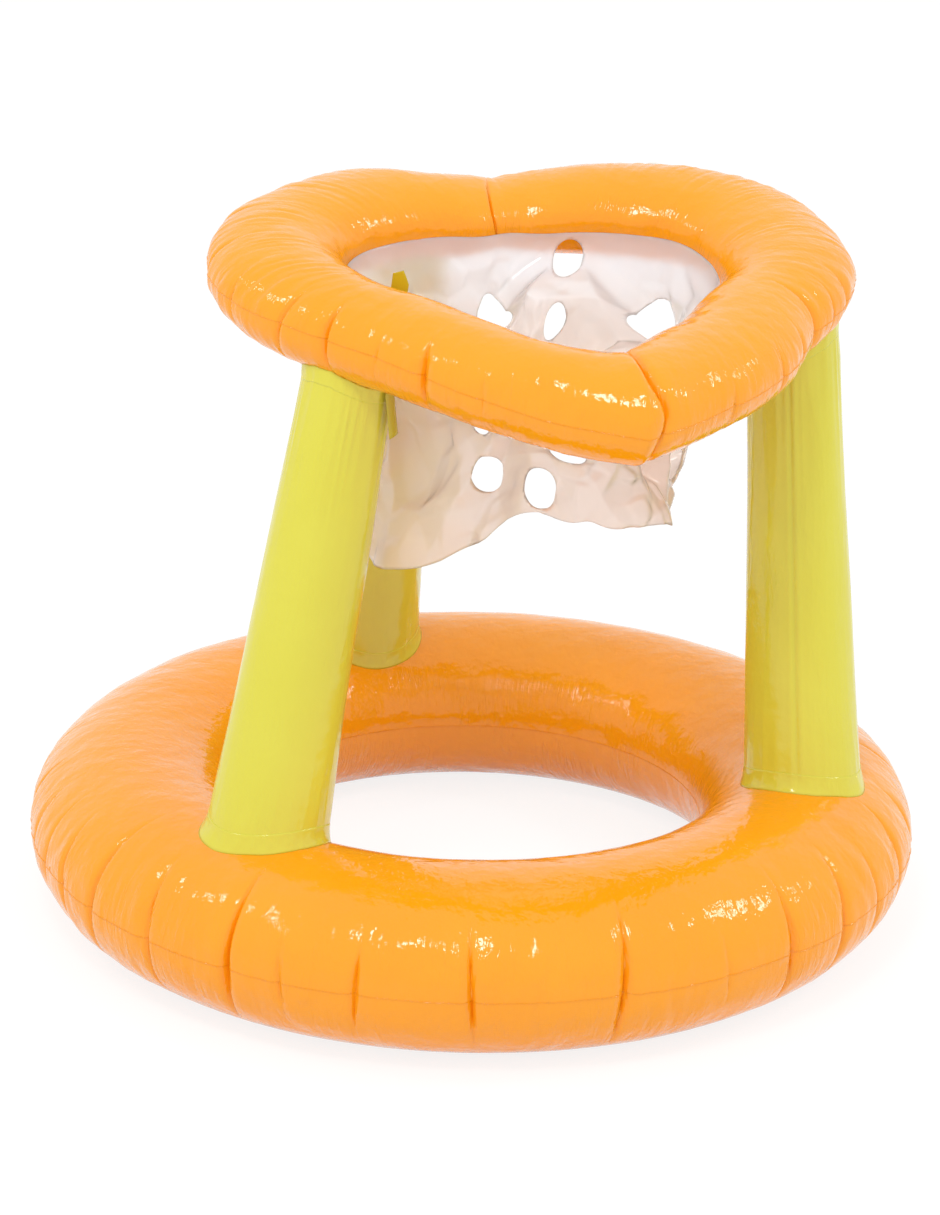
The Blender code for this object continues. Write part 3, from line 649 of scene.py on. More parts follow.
# Share of the depth, spacing and seed
HOOP_GATHERS = ((1.0, 0.0110, 5.0), (0.55, 0.0052, 1.0))
HOOP_SEAM_GATHER = 0.0005
HOOP_SWELL = 0.0010
HOOP_SWELLS = ((0.045, 1.0, 6.0), (0.018, 0.35, 9.0))
HOOP_SEAM_WAVE = 0.0009
# The outer seam climbs the tube on the left of the front: bearing, spread and climb
HOOP_SEAM_CLIMB = (math.radians(-118), math.radians(32), 0.24)


def smooth_value(shares, place):
    """Value at a place from 0 to 1 along a table, on a smooth curve through its entries."""
    last = len(shares) - 1
    position = min(max(place, 0.0), 1.0) * last
    index = min(int(position), last - 1)
    part = position - index
    before = shares[index - 1] if index > 0 else 2 * shares[0] - shares[1]
    start, end = shares[index], shares[index + 1]
    after = shares[index + 2] if index + 2 <= last else 2 * shares[last] - shares[last - 1]
    slope_in = (end - before) / 2
    slope_out = (after - start) / 2
    return (
        (2 * part**3 - 3 * part**2 + 1) * start
        + (part**3 - 2 * part**2 + part) * slope_in
        + (3 * part**2 - 2 * part**3) * end
        + (part**3 - part**2) * slope_out
    )


def heart_radii(bearing):
    """Outer and inner seam radius and half height of the tube at a bearing from the notch."""
    place = abs(bearing) / math.pi
    half = 1 if bearing < 0 else 0
    outer = HOOP_REACH * smooth_value(HEART_OUTER_SHARES[half], place)
    inner = HOOP_REACH * smooth_value(HEART_INNER_SHARES[half], place)
    return outer, inner, HOOP_HALF_HEIGHT * smooth_value(HEART_HEIGHT_SHARES, place)


def spoke(bearing):
    return Vector((math.sin(bearing), math.cos(bearing), 0))


def around(turn, size, height):
    """A point to read noise at, so that it closes round a tube."""
    return Vector((math.cos(turn) * size, math.sin(turn) * size, height))


def degrees_off(bearing, middle):
    """Degrees from a middle to a bearing, the short way round."""
    return (math.degrees(bearing) - middle + 180) % 360 - 180


hoop_normal = Vector((-HOOP_RISE_SHARES[0], -HOOP_RISE_SHARES[1], 1))
hoop_side = Vector((math.cos(HOOP_NOTCH_TURN), math.sin(HOOP_NOTCH_TURN), 0))
hoop_frame = frame_at(HOOP_CENTRE, hoop_normal, hoop_side)

# Length along the outer seam at each degree of bearing, for folds that are spaced by length
seam_lengths = [0.0]
for degree in range(-180, 180):
    ends = [spoke(math.radians(d)) * heart_radii(math.radians(d))[0] for d in (degree, degree + 1)]
    seam_lengths.append(seam_lengths[-1] + (ends[1] - ends[0]).length)
HOOP_LAP = seam_lengths[-1]


def seam_length(bearing):
    position = math.degrees(bearing) + 180
    index = min(int(position), 359)
    step = seam_lengths[index + 1] - seam_lengths[index]
    return seam_lengths[index] + step * (position - index)


hoop_folds = folds_along(HOOP_PINCHES, seam_length)


def mitre(place, rise):
    """Depth of the mitres at a place on the outer seam, and how far they draw the film in."""
    depth = 0.0
    drawn = 0.0
    for bearing, deep, rounding, slack, *crease in HOOP_MITRES:
        open_rise, reach, least, shift, bow, bow_rise, bow_spread = crease
        step = (place - seam_length(math.radians(bearing)) + HOOP_LAP / 2) % HOOP_LAP - HOOP_LAP / 2
        right = 1 if bearing == 0 else -1
        up = math.degrees(rise)
        away = step * right - (shift + bow * bell(up - bow_rise, bow_spread))
        if abs(away) > MITRE_REACH:
            continue
        deep *= least + (1 - least) * bell(up - open_rise, reach)
        pull = MITRE_PULL * bell(away, MITRE_PULL_REACH)
        drawn -= right * away * pull
        away *= 1 - pull
        if away < 0:
            part = min(1.0, -away / rounding)
            depth += deep * (1 - math.sqrt(1 - (1 - part) ** 2))
            depth -= 0.13 * deep * bell(away + 1.3 * rounding, rounding)
        else:
            depth += deep * math.exp(-away / slack)
    return depth, drawn


def press_hoop(shape, rise_layer):
    """Lays a spun film onto the heart, with its mitres, pinches, gathers and swells."""
    columns = {}
    for vert in shape.verts:
        bearing = math.pi / 2 - math.atan2(vert.co.y, vert.co.x)
        if bearing > math.pi:
            bearing -= 2 * math.pi
        rise = vert[rise_layer]
        place = seam_length(bearing)
        key = round(bearing, 4)
        if key not in columns:
            columns[key] = near_folds(hoop_folds, place, HOOP_LAP)
        inwards, drawn = pinch(columns[key], rise)
        mitred, mitre_drawn = mitre(place, rise)
        inwards += mitred
        near_seam = max(0.0, math.cos(rise * 0.9))
        lobes = sum(
            depth * bell(degrees_off(bearing, middle), spread)
            for middle, spread, depth in HOOP_LOBES
        )
        lobes *= max(0.0, math.cos(rise * 0.62 - 0.25))
        patch = max(0.1, 0.75 + 1.5 * noise.noise(around(bearing, 5, rise * 0.9 + 2)))
        for share, pitch, seed in HOOP_GATHERS:
            depth = share * (HOOP_SEAM_GATHER * near_seam + lobes * patch)
            inwards += depth * (0.45 - gather(place, rise, HOOP_LAP, pitch, seed))
        flange = (vert.co.xy.length - RING_RADIUS) - RING_HALF_WIDTH * math.cos(rise)
        bearing += (drawn + mitre_drawn) / heart_radii(bearing)[0]
        if abs(bearing) > math.pi:
            bearing -= math.copysign(2 * math.pi, bearing)
        climb_bearing, climb_spread, climb = HOOP_SEAM_CLIMB
        climb *= bell(bearing - climb_bearing, climb_spread)
        rise += climb * (1 - abs(rise) / math.pi) ** 2
        outer, inner, half_height = heart_radii(bearing)
        out = spoke(bearing)
        reach = (outer + inner) / 2 + (outer - inner) / 2 * math.cos(rise) + flange
        side = 1 if vert.co.z > 0 else -1
        height = side * SEAM_HALF_GAP + (half_height - SEAM_HALF_GAP) * math.sin(rise)
        outward = out * math.cos(rise) + UP * math.sin(rise)
        spot = out * reach + UP * height
        spot -= outward * (inwards - HOOP_SWELL * swells(spot, HOOP_SWELLS))
        wave = noise.noise(Vector((out.x * 6, out.y * 6, 4.1)))
        spot.z += HOOP_SEAM_WAVE * near_seam**2 * wave
        vert.co = hoop_frame @ spot


def hoop_profile(side):
    """Section to be spun, still round, with the flanges as long as the hoop's."""
    height = side * SEAM_HALF_GAP
    points = [(RING_SEAM_RADIUS + FLANGE, height, 0.0)]
    for i in range(HOOP_ROWS + 1):
        angle = math.pi * crowded(i / HOOP_ROWS, HOOP_CROWDING)
        points.append((RING_RADIUS + RING_HALF_WIDTH * math.cos(angle), height, side * angle))
    points.append((RING_RADIUS - RING_HALF_WIDTH - FLANGE, height, side * math.pi))
    return points


def hoop_middle(place):
    """The middle of the hoop's tube nearest to a place on its film."""
    local = hoop_frame.inverted() @ place
    bearing = math.atan2(local.x, local.y)
    outer, inner, _ = heart_radii(bearing)
    return hoop_frame @ (spoke(bearing) * (outer + inner) / 2)


map_size = (HOOP_LAP / (2 * math.pi), HOOP_HALF_HEIGHT)
hoop_films = build_chamber("hoop", hoop_profile, HOOP_COLUMNS, map_size, press_hoop, hoop_middle)


# ----------------------------------------
# Legs: three tapered tubes of lime film, welded to the ring's crown and to the hoop's underside.
# Air fills them from the ring, and a welded seam runs up each one.

# Name, azimuth and outset of the foot on the ring, bearing and outset of the top on the hoop
LEGS = (
    ("left", math.radians(-128.3), -0.020, math.radians(-110.8), 0.0065),
    ("right", math.radians(-12.4), -0.003, math.radians(98.0), 0.0080),
    ("back", math.radians(112.0), -0.014, math.radians(-25.0), 0.001),
)
# Where each leg's seam runs, as a turn round the leg, and the seed of its creases
LEG_SEAMS = {"left": (4.4, 11.0), "right": (1.41, 23.0), "back": (4.6, 37.0)}
LEG_FOOT_RADIUS = 0.0430
LEG_TOP_RADIUS = 0.0320
LEG_WAIST = 0.0010
LEG_LIFT = 0.0001
LEG_SIDES = 240
LEG_ROWS = 48
LEG_CROWDING = 0.105
LEG_MAP_LENGTH = 0.33
LEG_MEAN_RADIUS = 0.036
LEG_SWELL = 0.0013
# The weld's groove and the ridge beside it: height, distance from the weld and spread
LEG_SEAM_WAVES = ((0.0004, 0.0035, 0.0018), (-0.0010, 0.0, 0.0012))
# Depth of the slack folds and how far they reach from the foot and from the top, as a share
FOOT_FOLDS = (0.0016, 0.10)
TOP_FOLDS = (0.0027, 0.14)
SEARCH_REACH = 0.1
LIMES = ((0.74, 0.69, 0.072), (0.70, 0.64, 0.048))

lime_film = film_material("lime_vinyl_film", LIMES, 0.12, 0.00060)


def film_tree(films):
    """Search tree over the outer faces of some films."""
    shape = bmesh.new()
    for film in films:
        shape.from_mesh(film.data)
    found = BVHTree.FromBMesh(shape)
    shape.free()
    return found


def seat(tree, aim, direction, lift):
    """Where a line through aim meets a film, lifted off it on the line's side."""
    place, normal, _, _ = tree.ray_cast(aim - direction * SEARCH_REACH, direction)
    if place is None:
        place, normal, _, _ = tree.find_nearest(aim)
    if normal.dot(direction) > 0:
        normal = -normal
    return place + normal * lift


ring_tree = film_tree(ring_films)
hoop_tree = film_tree(hoop_films)


class LegLines:
    """Lines up a leg's film, from its seat on the ring to its seat under the hoop."""

    def __init__(self, foot_azimuth, foot_outset, top_bearing, top_outset):
        away = RING_RADIUS + foot_outset
        self.foot = spoke(math.pi / 2 - foot_azimuth) * away + UP * 2 * RING_HALF_HEIGHT
        outer, inner, half_height = heart_radii(top_bearing)
        middle = spoke(top_bearing) * ((outer + inner) / 2 + top_outset)
        self.top = hoop_frame @ (middle - UP * half_height)
        self.along = (self.top - self.foot).normalized()
        self.side = self.along.cross(Vector((0, 1, 0))).normalized()
        self.other = self.along.cross(self.side)

    def out(self, turn):
        return self.side * math.cos(turn) + self.other * math.sin(turn)

    def inside(self, place):
        """The point of the leg's axis beside a place."""
        return self.foot + self.along * (place - self.foot).dot(self.along)

    def seat(self, at_foot, turn, radius, lift):
        """A point on the film that the leg stands on, or hangs from."""
        if at_foot:
            return seat(ring_tree, self.foot + self.out(turn) * radius, -self.along, lift)
        return seat(hoop_tree, self.top + self.out(turn) * radius, self.along, lift)


def leg_relief(turn, share, seam, seed):
    """How far a leg's film stands out from its line: folds near the welds, and the seam."""
    relief = LEG_SWELL * noise.noise(around(turn, 1.3, share * 2.2 + seed))
    fine = 0.32 - abs(noise.noise(around(turn, 4.5, share * 2.5 + seed))) * 1.4
    for (depth, reach), away in ((FOOT_FOLDS, share), (TOP_FOLDS, 1 - share)):
        relief += depth * math.exp(-away / reach) * fine
    away = abs((turn - seam + math.pi) % (2 * math.pi) - math.pi) * LEG_MEAN_RADIUS
    relief += sum(high * bell(away - aside, spread) for high, aside, spread in LEG_SEAM_WAVES)
    # The welds at both ends hold the film down
    return relief * min(1.0, 12 * share, 12 * (1 - share))


legs = {name: LegLines(*ends) for name, *ends in LEGS}
for name, lines in legs.items():
    seam, seed = LEG_SEAMS[name]
    feet, tops = {}, {}
    rows = [crowded(i / LEG_ROWS, LEG_CROWDING) for i in range(LEG_ROWS + 1)]
    shape, rise_layer = spun_film([(1.0, row, row) for row in rows], LEG_SIDES)
    lay_map(shape, rise_layer, LEG_FOOT_RADIUS, LEG_MAP_LENGTH)
    for vert in shape.verts:
        turn = math.atan2(vert.co.y, vert.co.x)
        key = round(turn, 4)
        if key not in feet:
            feet[key] = lines.seat(True, turn, LEG_FOOT_RADIUS, LEG_LIFT)
            tops[key] = lines.seat(False, turn, LEG_TOP_RADIUS, LEG_LIFT)
        share = vert[rise_layer]
        out = leg_relief(turn, share, seam, seed) - LEG_WAIST * math.sin(math.pi * share)
        vert.co = feet[key].lerp(tops[key], share) + lines.out(turn) * out
    face_outwards(shape, lines.inside)
    sleeve = finish_film(name + "_leg_tube", shape, lime_film)
    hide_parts(name + "_leg_sleeve")


# ----------------------------------------
# Weld collars: the skirt at each end of a leg. The film flares out, crimps into small pleats and is
# welded flat onto the chamber.

# Radius, height and brim of the skirt at the foot and at the top
FOOT_COLLAR = (LEG_FOOT_RADIUS, 0.013, 0.0032)
TOP_COLLAR = (LEG_TOP_RADIUS, 0.010, 0.0012)
COLLAR_FILM = 0.0002
COLLAR_LIFT = 0.00016
COLLAR_SLACK = 0.0004
COLLAR_ROWS = 10
PLEATS_ROUND = 19

for name, lines in legs.items():
    seam, seed = LEG_SEAMS[name]
    for at_foot in (True, False):
        radius, height, brim = FOOT_COLLAR if at_foot else TOP_COLLAR
        far_radius = LEG_TOP_RADIUS if at_foot else LEG_FOOT_RADIUS
        tall = height / (lines.top - lines.foot).length
        rows = [i / COLLAR_ROWS for i in range(COLLAR_ROWS + 1)]
        shape, rise_layer = spun_film([(1.0, row, row) for row in rows], LEG_SIDES)
        lay_map(shape, rise_layer, radius, height)
        for vert in shape.verts:
            turn = math.atan2(vert.co.y, vert.co.x)
            share = vert[rise_layer]
            wander = 2.0 * math.sin(2 * turn + radius * 90)
            pleat = 0.5 + 0.5 * math.sin(PLEATS_ROUND * turn + wander)
            uneven = 1 + 0.7 * noise.noise(around(turn, 1.6, seed))
            flare = brim * uneven * (1 - share) ** 3
            edge = lines.seat(at_foot, turn, radius + flare, COLLAR_FILM / 2)
            far = lines.seat(not at_foot, turn, far_radius, LEG_LIFT)
            along = tall * share if at_foot else 1 - tall * share
            out = leg_relief(turn, along, seam, seed)
            out += COLLAR_SLACK * pleat * math.sin(math.pi * min(1.0, share * 1.15)) ** 2
            out += COLLAR_LIFT * min(1.0, share / 0.15) * (1 - 0.75 * share**4)
            vert.co = edge.lerp(far, tall * share) + lines.out(turn) * out
        face_outwards(shape, lines.inside)
        piece_name = name + ("_foot_" if at_foot else "_top_")
        collar = finish_film(piece_name + "weld", shape, lime_film, COLLAR_FILM)
        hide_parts(piece_name + "collar")


# ----------------------------------------
# Net: one tube of thin clear-pink film with round holes punched through it, welded to the hoop's
# inner seam. It was packed flat, so it hangs crumpled.

NET_FILM = 0.0002
NET_LENGTH = 0.152
NET_COLUMNS = 400
NET_ROWS = 80
NET_WIDTH_SHARES = (1.0, 0.93, 0.87, 0.86, 0.90)
NET_BOTTOM_SHIFT = Vector((-0.012, -0.006, 0))
# How far the crumpled film reaches down, every 15 degrees from the hoop's point round by the left
NET_DROP_SHARES = (
    0.70, 0.72, 0.89, 1.02, 1.13, 1.18, 1.15, 1.07, 1.03, 1.0, 1.0, 0.98, 1.0,
    1.0, 1.02, 1.03, 1.04, 1.03, 1.02, 1.0, 0.97, 0.92, 0.85, 0.79, 0.70,
)
# Folds that stand inwards from the film: bearing, share of the length at the peak, how fast they
# widen and how deep they get
NET_PLEATS = (
    (26, 0.02, 1.75, 0.038), (-47, 0.10, 0.60, 0.016), (80, 0.16, 0.70, 0.018),
    (-95, 0.20, 0.55, -0.012), (118, 0.22, 0.60, -0.012), (-160, 0.30, 0.8, 0.016),
    (-128, 0.42, 0.7, -0.010), (160, 0.35, 0.7, -0.012), (-18, 0.45, 0.8, -0.012),
    (55, 0.5, 0.8, 0.012),
)
# Facets of the crumples: size, depth and seed
NET_FACETS = ((0.042, 0.0075, 3.0), (0.017, 0.0030, 8.0))
NET_HOLE_RADIUS = 0.0135
# Three rows of seven holes, each with its bearing and its share of the length
NET_HOLES = (
    (26, 0.12), (100, 0.15), (134, 0.15), (168, 0.16), (-158, 0.16), (-124, 0.16), (-88, 0.15),
    (-11, 0.36), (62, 0.35), (92, 0.40), (150, 0.38), (-175, 0.36), (-140, 0.37), (-57, 0.42),
    (29, 0.46), (76, 0.64), (120, 0.70), (-168, 0.60), (-144, 0.64), (-96, 0.66), (-38, 0.66),
)
# The net's pink, partly its own tint and partly painted orange bounce light, and a paler tint
# painted near the weld to stand in for the light that the hoop shades off the film's upper part
CLEAR_PINK_WITH_PAINTED_BOUNCE = (0.99, 0.860, 0.775)
PAINTED_PALE_LIGHT = (0.99, 0.975, 1.0)

# noise_vector takes its offsets from the clock unless a seed is set
noise.seed_set(4)


def net_material():
    """Thin soft film with fine crumple lines and soft gloss. Its tint runs from a painted pale
    light at the weld to pink lower down, partly the film's own tint and partly painted orange
    bounce light.
    """
    material, tree, shader = new_material("clear_pink_film")
    set_inputs(shader, {
        "Alpha": 0.93, "Roughness": 0.48, "IOR": 1.3, "Transmission Weight": 0.70,
        "Coat Weight": 0.9, "Coat Roughness": 0.07,
    })
    place = add_node(tree, "TexCoord", {}).outputs["Object"]
    cloud = add_noise(tree, place, {"Scale": 16, "Detail": 3})
    own_map = add_node(tree, "UVMap", {}, uv_map="film")
    down = add_node(tree, "SeparateXYZ", {})
    # Painted light: the tint is paler near the weld and pinker lower down, with a little random
    # unevenness
    clouded = add_node(tree, "Math", {1: 0.05}, operation="MULTIPLY_ADD")
    painted_light_down = add_ramp(tree, clouded.outputs[0], 0.035, 0.115)
    blend_colours(tree, shader, painted_light_down, PAINTED_PALE_LIGHT, CLEAR_PINK_WITH_PAINTED_BOUNCE)
    crumples = {"Scale": 26, "Detail": 1.5, "Distortion": 0.5}
    creases = add_noise(tree, place, crumples, noise_type="RIDGED_MULTIFRACTAL")
    crumpled = add_bump(tree, creases, 0.8, 0.0028)
    link_nodes(
        tree,
        (own_map.outputs["UV"], down.inputs[0]),
        (cloud, clouded.inputs[0]),
        (down.outputs["Y"], clouded.inputs[2]),
        (crumpled.outputs["Normal"], shader.inputs["Normal"]),
        (crumpled.outputs["Normal"], shader.inputs["Coat Normal"]),
    )
    return material


def facet(point, size, seed):
    """Crumpled film, from about -1 to 1: flat facets tilted at random, with crisp edges."""
    spot = point / size + Vector((seed, 0, 0))
    distances, centres = noise.voronoi(spot)
    total = 0.0
    weights = 0.0
    for distance, centre in zip(distances, centres):
        weight = math.exp(-14 * (distance - distances[0]))
        tilt = noise.noise_vector(centre * 3.1 + Vector((seed, 7, 2)))
        total += weight * (1.6 * tilt.dot(spot - centre) + noise.noise(centre * 2.3))
        weights += weight
    return total / weights


def net_drop(bearing):
    return NET_LENGTH * smooth_value(NET_DROP_SHARES, (bearing + math.pi) / (2 * math.pi))


def net_pleat(bearing, share):
    """How far the folds that stand inwards carry the film in."""
    inwards = 0.0
    for middle, peak, widening, deep in NET_PLEATS:
        if share > peak:
            width = 3.0 + 62.0 * widening * (share - peak)
            away = abs(degrees_off(bearing, middle))
            side = min(1.0, max(0.0, (width - away) / (4.0 + 0.30 * width)))
            inwards += deep * min(1.0, (share - peak) / 0.32) * side
    return inwards


def net_place(bearing, share):
    """Where the film hangs at a bearing from the notch and a share of its length."""
    top = hoop_frame @ (spoke(bearing) * (heart_radii(bearing)[1] - FLANGE - WELD_GAP))
    out = Vector((top.x - HOOP_CENTRE.x, top.y - HOOP_CENTRE.y, 0))
    spot = spoke(bearing) * 0.09 + UP * (share * NET_LENGTH)
    pleat = net_pleat(bearing, share)
    fold = sum(depth * facet(spot, size, seed) for size, depth, seed in NET_FACETS) - pleat
    aside = 0.006 * noise.noise(spot * 22 + Vector((5, 1, 9)))
    along = Vector((out.y, -out.x, 0)).normalized() * aside
    drop = share * net_drop(bearing) + 0.004 * share * share * noise.noise(spot * 60)
    # Where a deep fold carries the film in, the film's own length lifts it
    drop -= 0.8 * max(0.0, pleat - 0.015)
    place = Vector((HOOP_CENTRE.x, HOOP_CENTRE.y, top.z - drop))
    place += out * smooth_value(NET_WIDTH_SHARES, share)
    # The weld holds the film's upper edge
    place += (out.normalized() * fold + along) * min(1.0, share * 4.5)
    return place + NET_BOTTOM_SHIFT * share


def inner_seam(degree):
    bearing = math.radians(degree if degree <= 180 else -180)
    return spoke(bearing) * heart_radii(bearing)[1]


inner_lap = sum((inner_seam(d + 1) - inner_seam(d)).length for d in range(-180, 180))
rows = [i / NET_ROWS for i in range(NET_ROWS + 1)]
shape, rise_layer = spun_film([(1.0, row, row) for row in rows], NET_COLUMNS)
lay_map(shape, rise_layer, inner_lap / (2 * math.pi), NET_LENGTH)


def bearing_of(vert):
    turn = math.atan2(vert.co.y, vert.co.x)
    return (math.pi / 2 - turn + math.pi) % (2 * math.pi) - math.pi


def flat_spot(vert):
    """Place on the flat film: along its top edge, and down from it."""
    bearing = bearing_of(vert)
    along = bearing * inner_lap / (2 * math.pi)
    return Vector((along, vert[rise_layer] * net_drop(bearing)))


def from_hole(spot, hole):
    """Step from a hole's middle to a spot, the short way round the tube."""
    step = spot - hole
    step.x = (step.x + inner_lap / 2) % inner_lap - inner_lap / 2
    return step


hole_spots = [
    Vector((bearing / 360 * inner_lap, share * NET_LENGTH)) for bearing, share in NET_HOLES
]
cut = []
for face in shape.faces:
    spots = [flat_spot(vert) for vert in face.verts]
    steps = [from_hole(spot, spots[0]) for spot in spots]
    middle = sum(steps, Vector((0, 0))) / len(spots) + spots[0]
    if any(from_hole(middle, hole).length < NET_HOLE_RADIUS for hole in hole_spots):
        cut.append(face)
bmesh.ops.delete(shape, geom=cut, context="FACES")
for vert in shape.verts:
    spot = flat_spot(vert)
    bearing = bearing_of(vert)
    share = vert[rise_layer]
    # The edges of the holes are drawn onto true circles
    if vert.is_boundary and 0.01 < share < 0.99:
        for hole in hole_spots:
            step = from_hole(spot, hole)
            if step.length < NET_HOLE_RADIUS * 1.4:
                spot = hole + step.normalized() * NET_HOLE_RADIUS
                bearing = (spot.x * 2 * math.pi / inner_lap + math.pi) % (2 * math.pi) - math.pi
                share = spot.y / net_drop(bearing)
                break
    vert.co = net_place(bearing, share)
face_outwards(shape, lambda place: Vector((HOOP_CENTRE.x, HOOP_CENTRE.y, place.z)))
net = finish_film("net_film_tube", shape, net_material(), NET_FILM)
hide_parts("net")


# ----------------------------------------
# Loose weld tabs: two free ends of lime film at the left leg's top. One stands up inside the hoop,
# one hangs beside the leg.

UPPER_TAB_WIDTH = 0.015
UPPER_TAB_BEARING = math.radians(-103.5)
# How far the upper tab leans in from the seam, and its height over it
UPPER_TAB_LINE = ((0.0014, 0.0012), (0.0022, 0.009), (0.0030, 0.018), (0.0040, 0.026))
LOWER_TAB_WIDTH = 0.010
LOWER_TAB_AZIMUTH = math.radians(-35.0)
TAB_POINTS = 12
DOUBLED_LIMES = ((0.60, 0.50, 0.022), (0.54, 0.45, 0.012))

doubled_lime_film = film_material("doubled_lime_vinyl_film", DOUBLED_LIMES, 0.16, 0.00020)


def build_tab(name, line, width, side, curl, tip):
    """A strip of film along a line of points, cupped by curl, its end cut to a point."""
    shape = bmesh.new()
    bmesh.ops.create_grid(shape, x_segments=8, y_segments=24, size=0.5)
    film_map = shape.loops.layers.uv.new("film")
    for face in shape.faces:
        for loop in face.loops:
            loop[film_map].uv = (loop.vert.co.x * width, loop.vert.co.y * 0.03)
    for vert in shape.verts:
        across, share = vert.co.x, vert.co.y + 0.5
        position = share * (len(line) - 1)
        index = min(int(position), len(line) - 2)
        start, end = line[index], line[index + 1]
        along = (end - start).normalized()
        cup = side.cross(along) * (curl * (0.25 - across * across) * min(1.0, share * 3))
        slant = 0.25 * width * across + tip * (0.25 - abs(across))
        spot = start.lerp(end, position - index) + side * (across * width)
        vert.co = spot + cup + along * (share * share * slant)
    return finish_film(name, shape, doubled_lime_film)


def eased(line):
    """More points on a smooth curve through the points of a line."""
    shares = [[point[axis] for point in line] for axis in range(3)]
    return [
        Vector([smooth_value(values, i / TAB_POINTS) for values in shares])
        for i in range(TAB_POINTS + 1)
    ]


seam_middle = spoke(UPPER_TAB_BEARING) * (heart_radii(UPPER_TAB_BEARING)[1])
step = spoke(UPPER_TAB_BEARING + 0.05) * heart_radii(UPPER_TAB_BEARING + 0.05)[1]
along = (step - seam_middle).normalized()
inward = along.cross(UP)
if inward.dot(seam_middle) > 0:
    inward = -inward
upper_line = eased([
    hoop_frame @ (seam_middle + inward * lean + UP * height) for lean, height in UPPER_TAB_LINE
])
side = hoop_frame.to_3x3() @ along
tab = build_tab("left_upper_loose_tab", upper_line, UPPER_TAB_WIDTH, side, 0.006, 0.012)
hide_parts("left_upper_tab")

out = Vector((math.cos(LOWER_TAB_AZIMUTH), math.sin(LOWER_TAB_AZIMUTH), 0))
lines = legs["left"]
edge = LEG_TOP_RADIUS + TOP_COLLAR[2] + 0.0015
root = seat(hoop_tree, lines.top + out * (edge + 0.004), lines.along, 0.0006)
bend = seat(hoop_tree, lines.top + out * (edge + 0.001), lines.along, 0.0012)
lower_line = eased([
    root, bend, bend + Vector((0.001, 0, -0.012)), bend + Vector((0.003, -0.001, -0.031))
])
side = out.cross(UP)
tab = build_tab("left_lower_loose_tab", lower_line, LOWER_TAB_WIDTH, side, 0.004, 0.0)
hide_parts("left_lower_tab")


# ----------------------------------------
# Valves: moulded milky vinyl, at the back of the ring and of the hoop. The plate is welded round
# the stem, the stopper hangs from the lip by its hinge, and a small flap closes the bore inside.

MILKY = (0.86, 0.86, 0.83)
MILKY_SHADE = (0.80, 0.80, 0.76)
VALVE_SIDES = 48
SOFT_EDGE = 0.00022
PLATE_BORE = 0.0058
PLATE_RADIUS = 0.0110
PLATE_BEAD = PLATE_RADIUS - 0.0014
STEM_RADIUS = 0.0055
STEM_BORE = 0.0035
STEM_TOP = 0.0027
STEM_END = STEM_TOP - 0.017
LIP_RADIUS = 0.0070
LIP_THICKNESS = 0.0011
CAP_UNDER = STEM_TOP + WELD_GAP
CAP_TOP = CAP_UNDER + 0.0016
CAP_RADIUS = 0.0068
PLUG_RADIUS = 0.0031
PLUG_END = CAP_UNDER - 0.0045
PULL_TAB_MIDDLE = -0.0078
PULL_TAB_SIZE = (0.0060, 0.0050, 0.0008)
HINGE_BEAD_RADIUS = 0.0005
HINGE_BEAD_LENGTH = 0.0044
FLAP_TOP = STEM_END - WELD_GAP
FLAP_RADIUS = 0.0046

milky_vinyl, tree, shader = new_material("milky_moulded_vinyl")
cloud = add_noise(tree, add_node(tree, "TexCoord", {}).outputs["Object"], {"Scale": 220})
blend_colours(tree, shader, cloud, MILKY, MILKY_SHADE)
tree.links.new(add_ramp(tree, cloud, 0.0, 1.0, 0.28, 0.42), shader.inputs["Roughness"])


def turn_round(shape, points, closed):
    """Spins a section of (radius, height) points about Z, and closes its poles."""
    row = [shape.verts.new((radius, 0, height)) for radius, height in points]
    follow = row[1:] + row[:1] if closed else row[1:]
    edges = [shape.edges.new(pair) for pair in zip(row, follow)]
    bmesh.ops.spin(
        shape, geom=row + edges, cent=(0, 0, 0), axis=(0, 0, 1), angle=2 * math.pi,
        steps=VALVE_SIDES, use_merge=True,
    )
    bmesh.ops.remove_doubles(shape, verts=shape.verts, dist=MERGE_DISTANCE)
    bmesh.ops.recalc_face_normals(shape, faces=shape.faces)


def finish_moulding(name, shape, valve, body, node):
    """Moulded piece from a shape in its valve's frame, with softened edges."""
    bmesh.ops.transform(shape, matrix=valve, verts=shape.verts)
    piece = smooth_object(name, shape, milky_vinyl)
    edge = piece.modifiers.new("soft_edge", "BEVEL")
    edge.width = SOFT_EDGE
    edge.segments = 2
    edge.limit_method = "ANGLE"
    edge.angle_limit = math.radians(30)
    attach(piece, body)
    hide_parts(node)


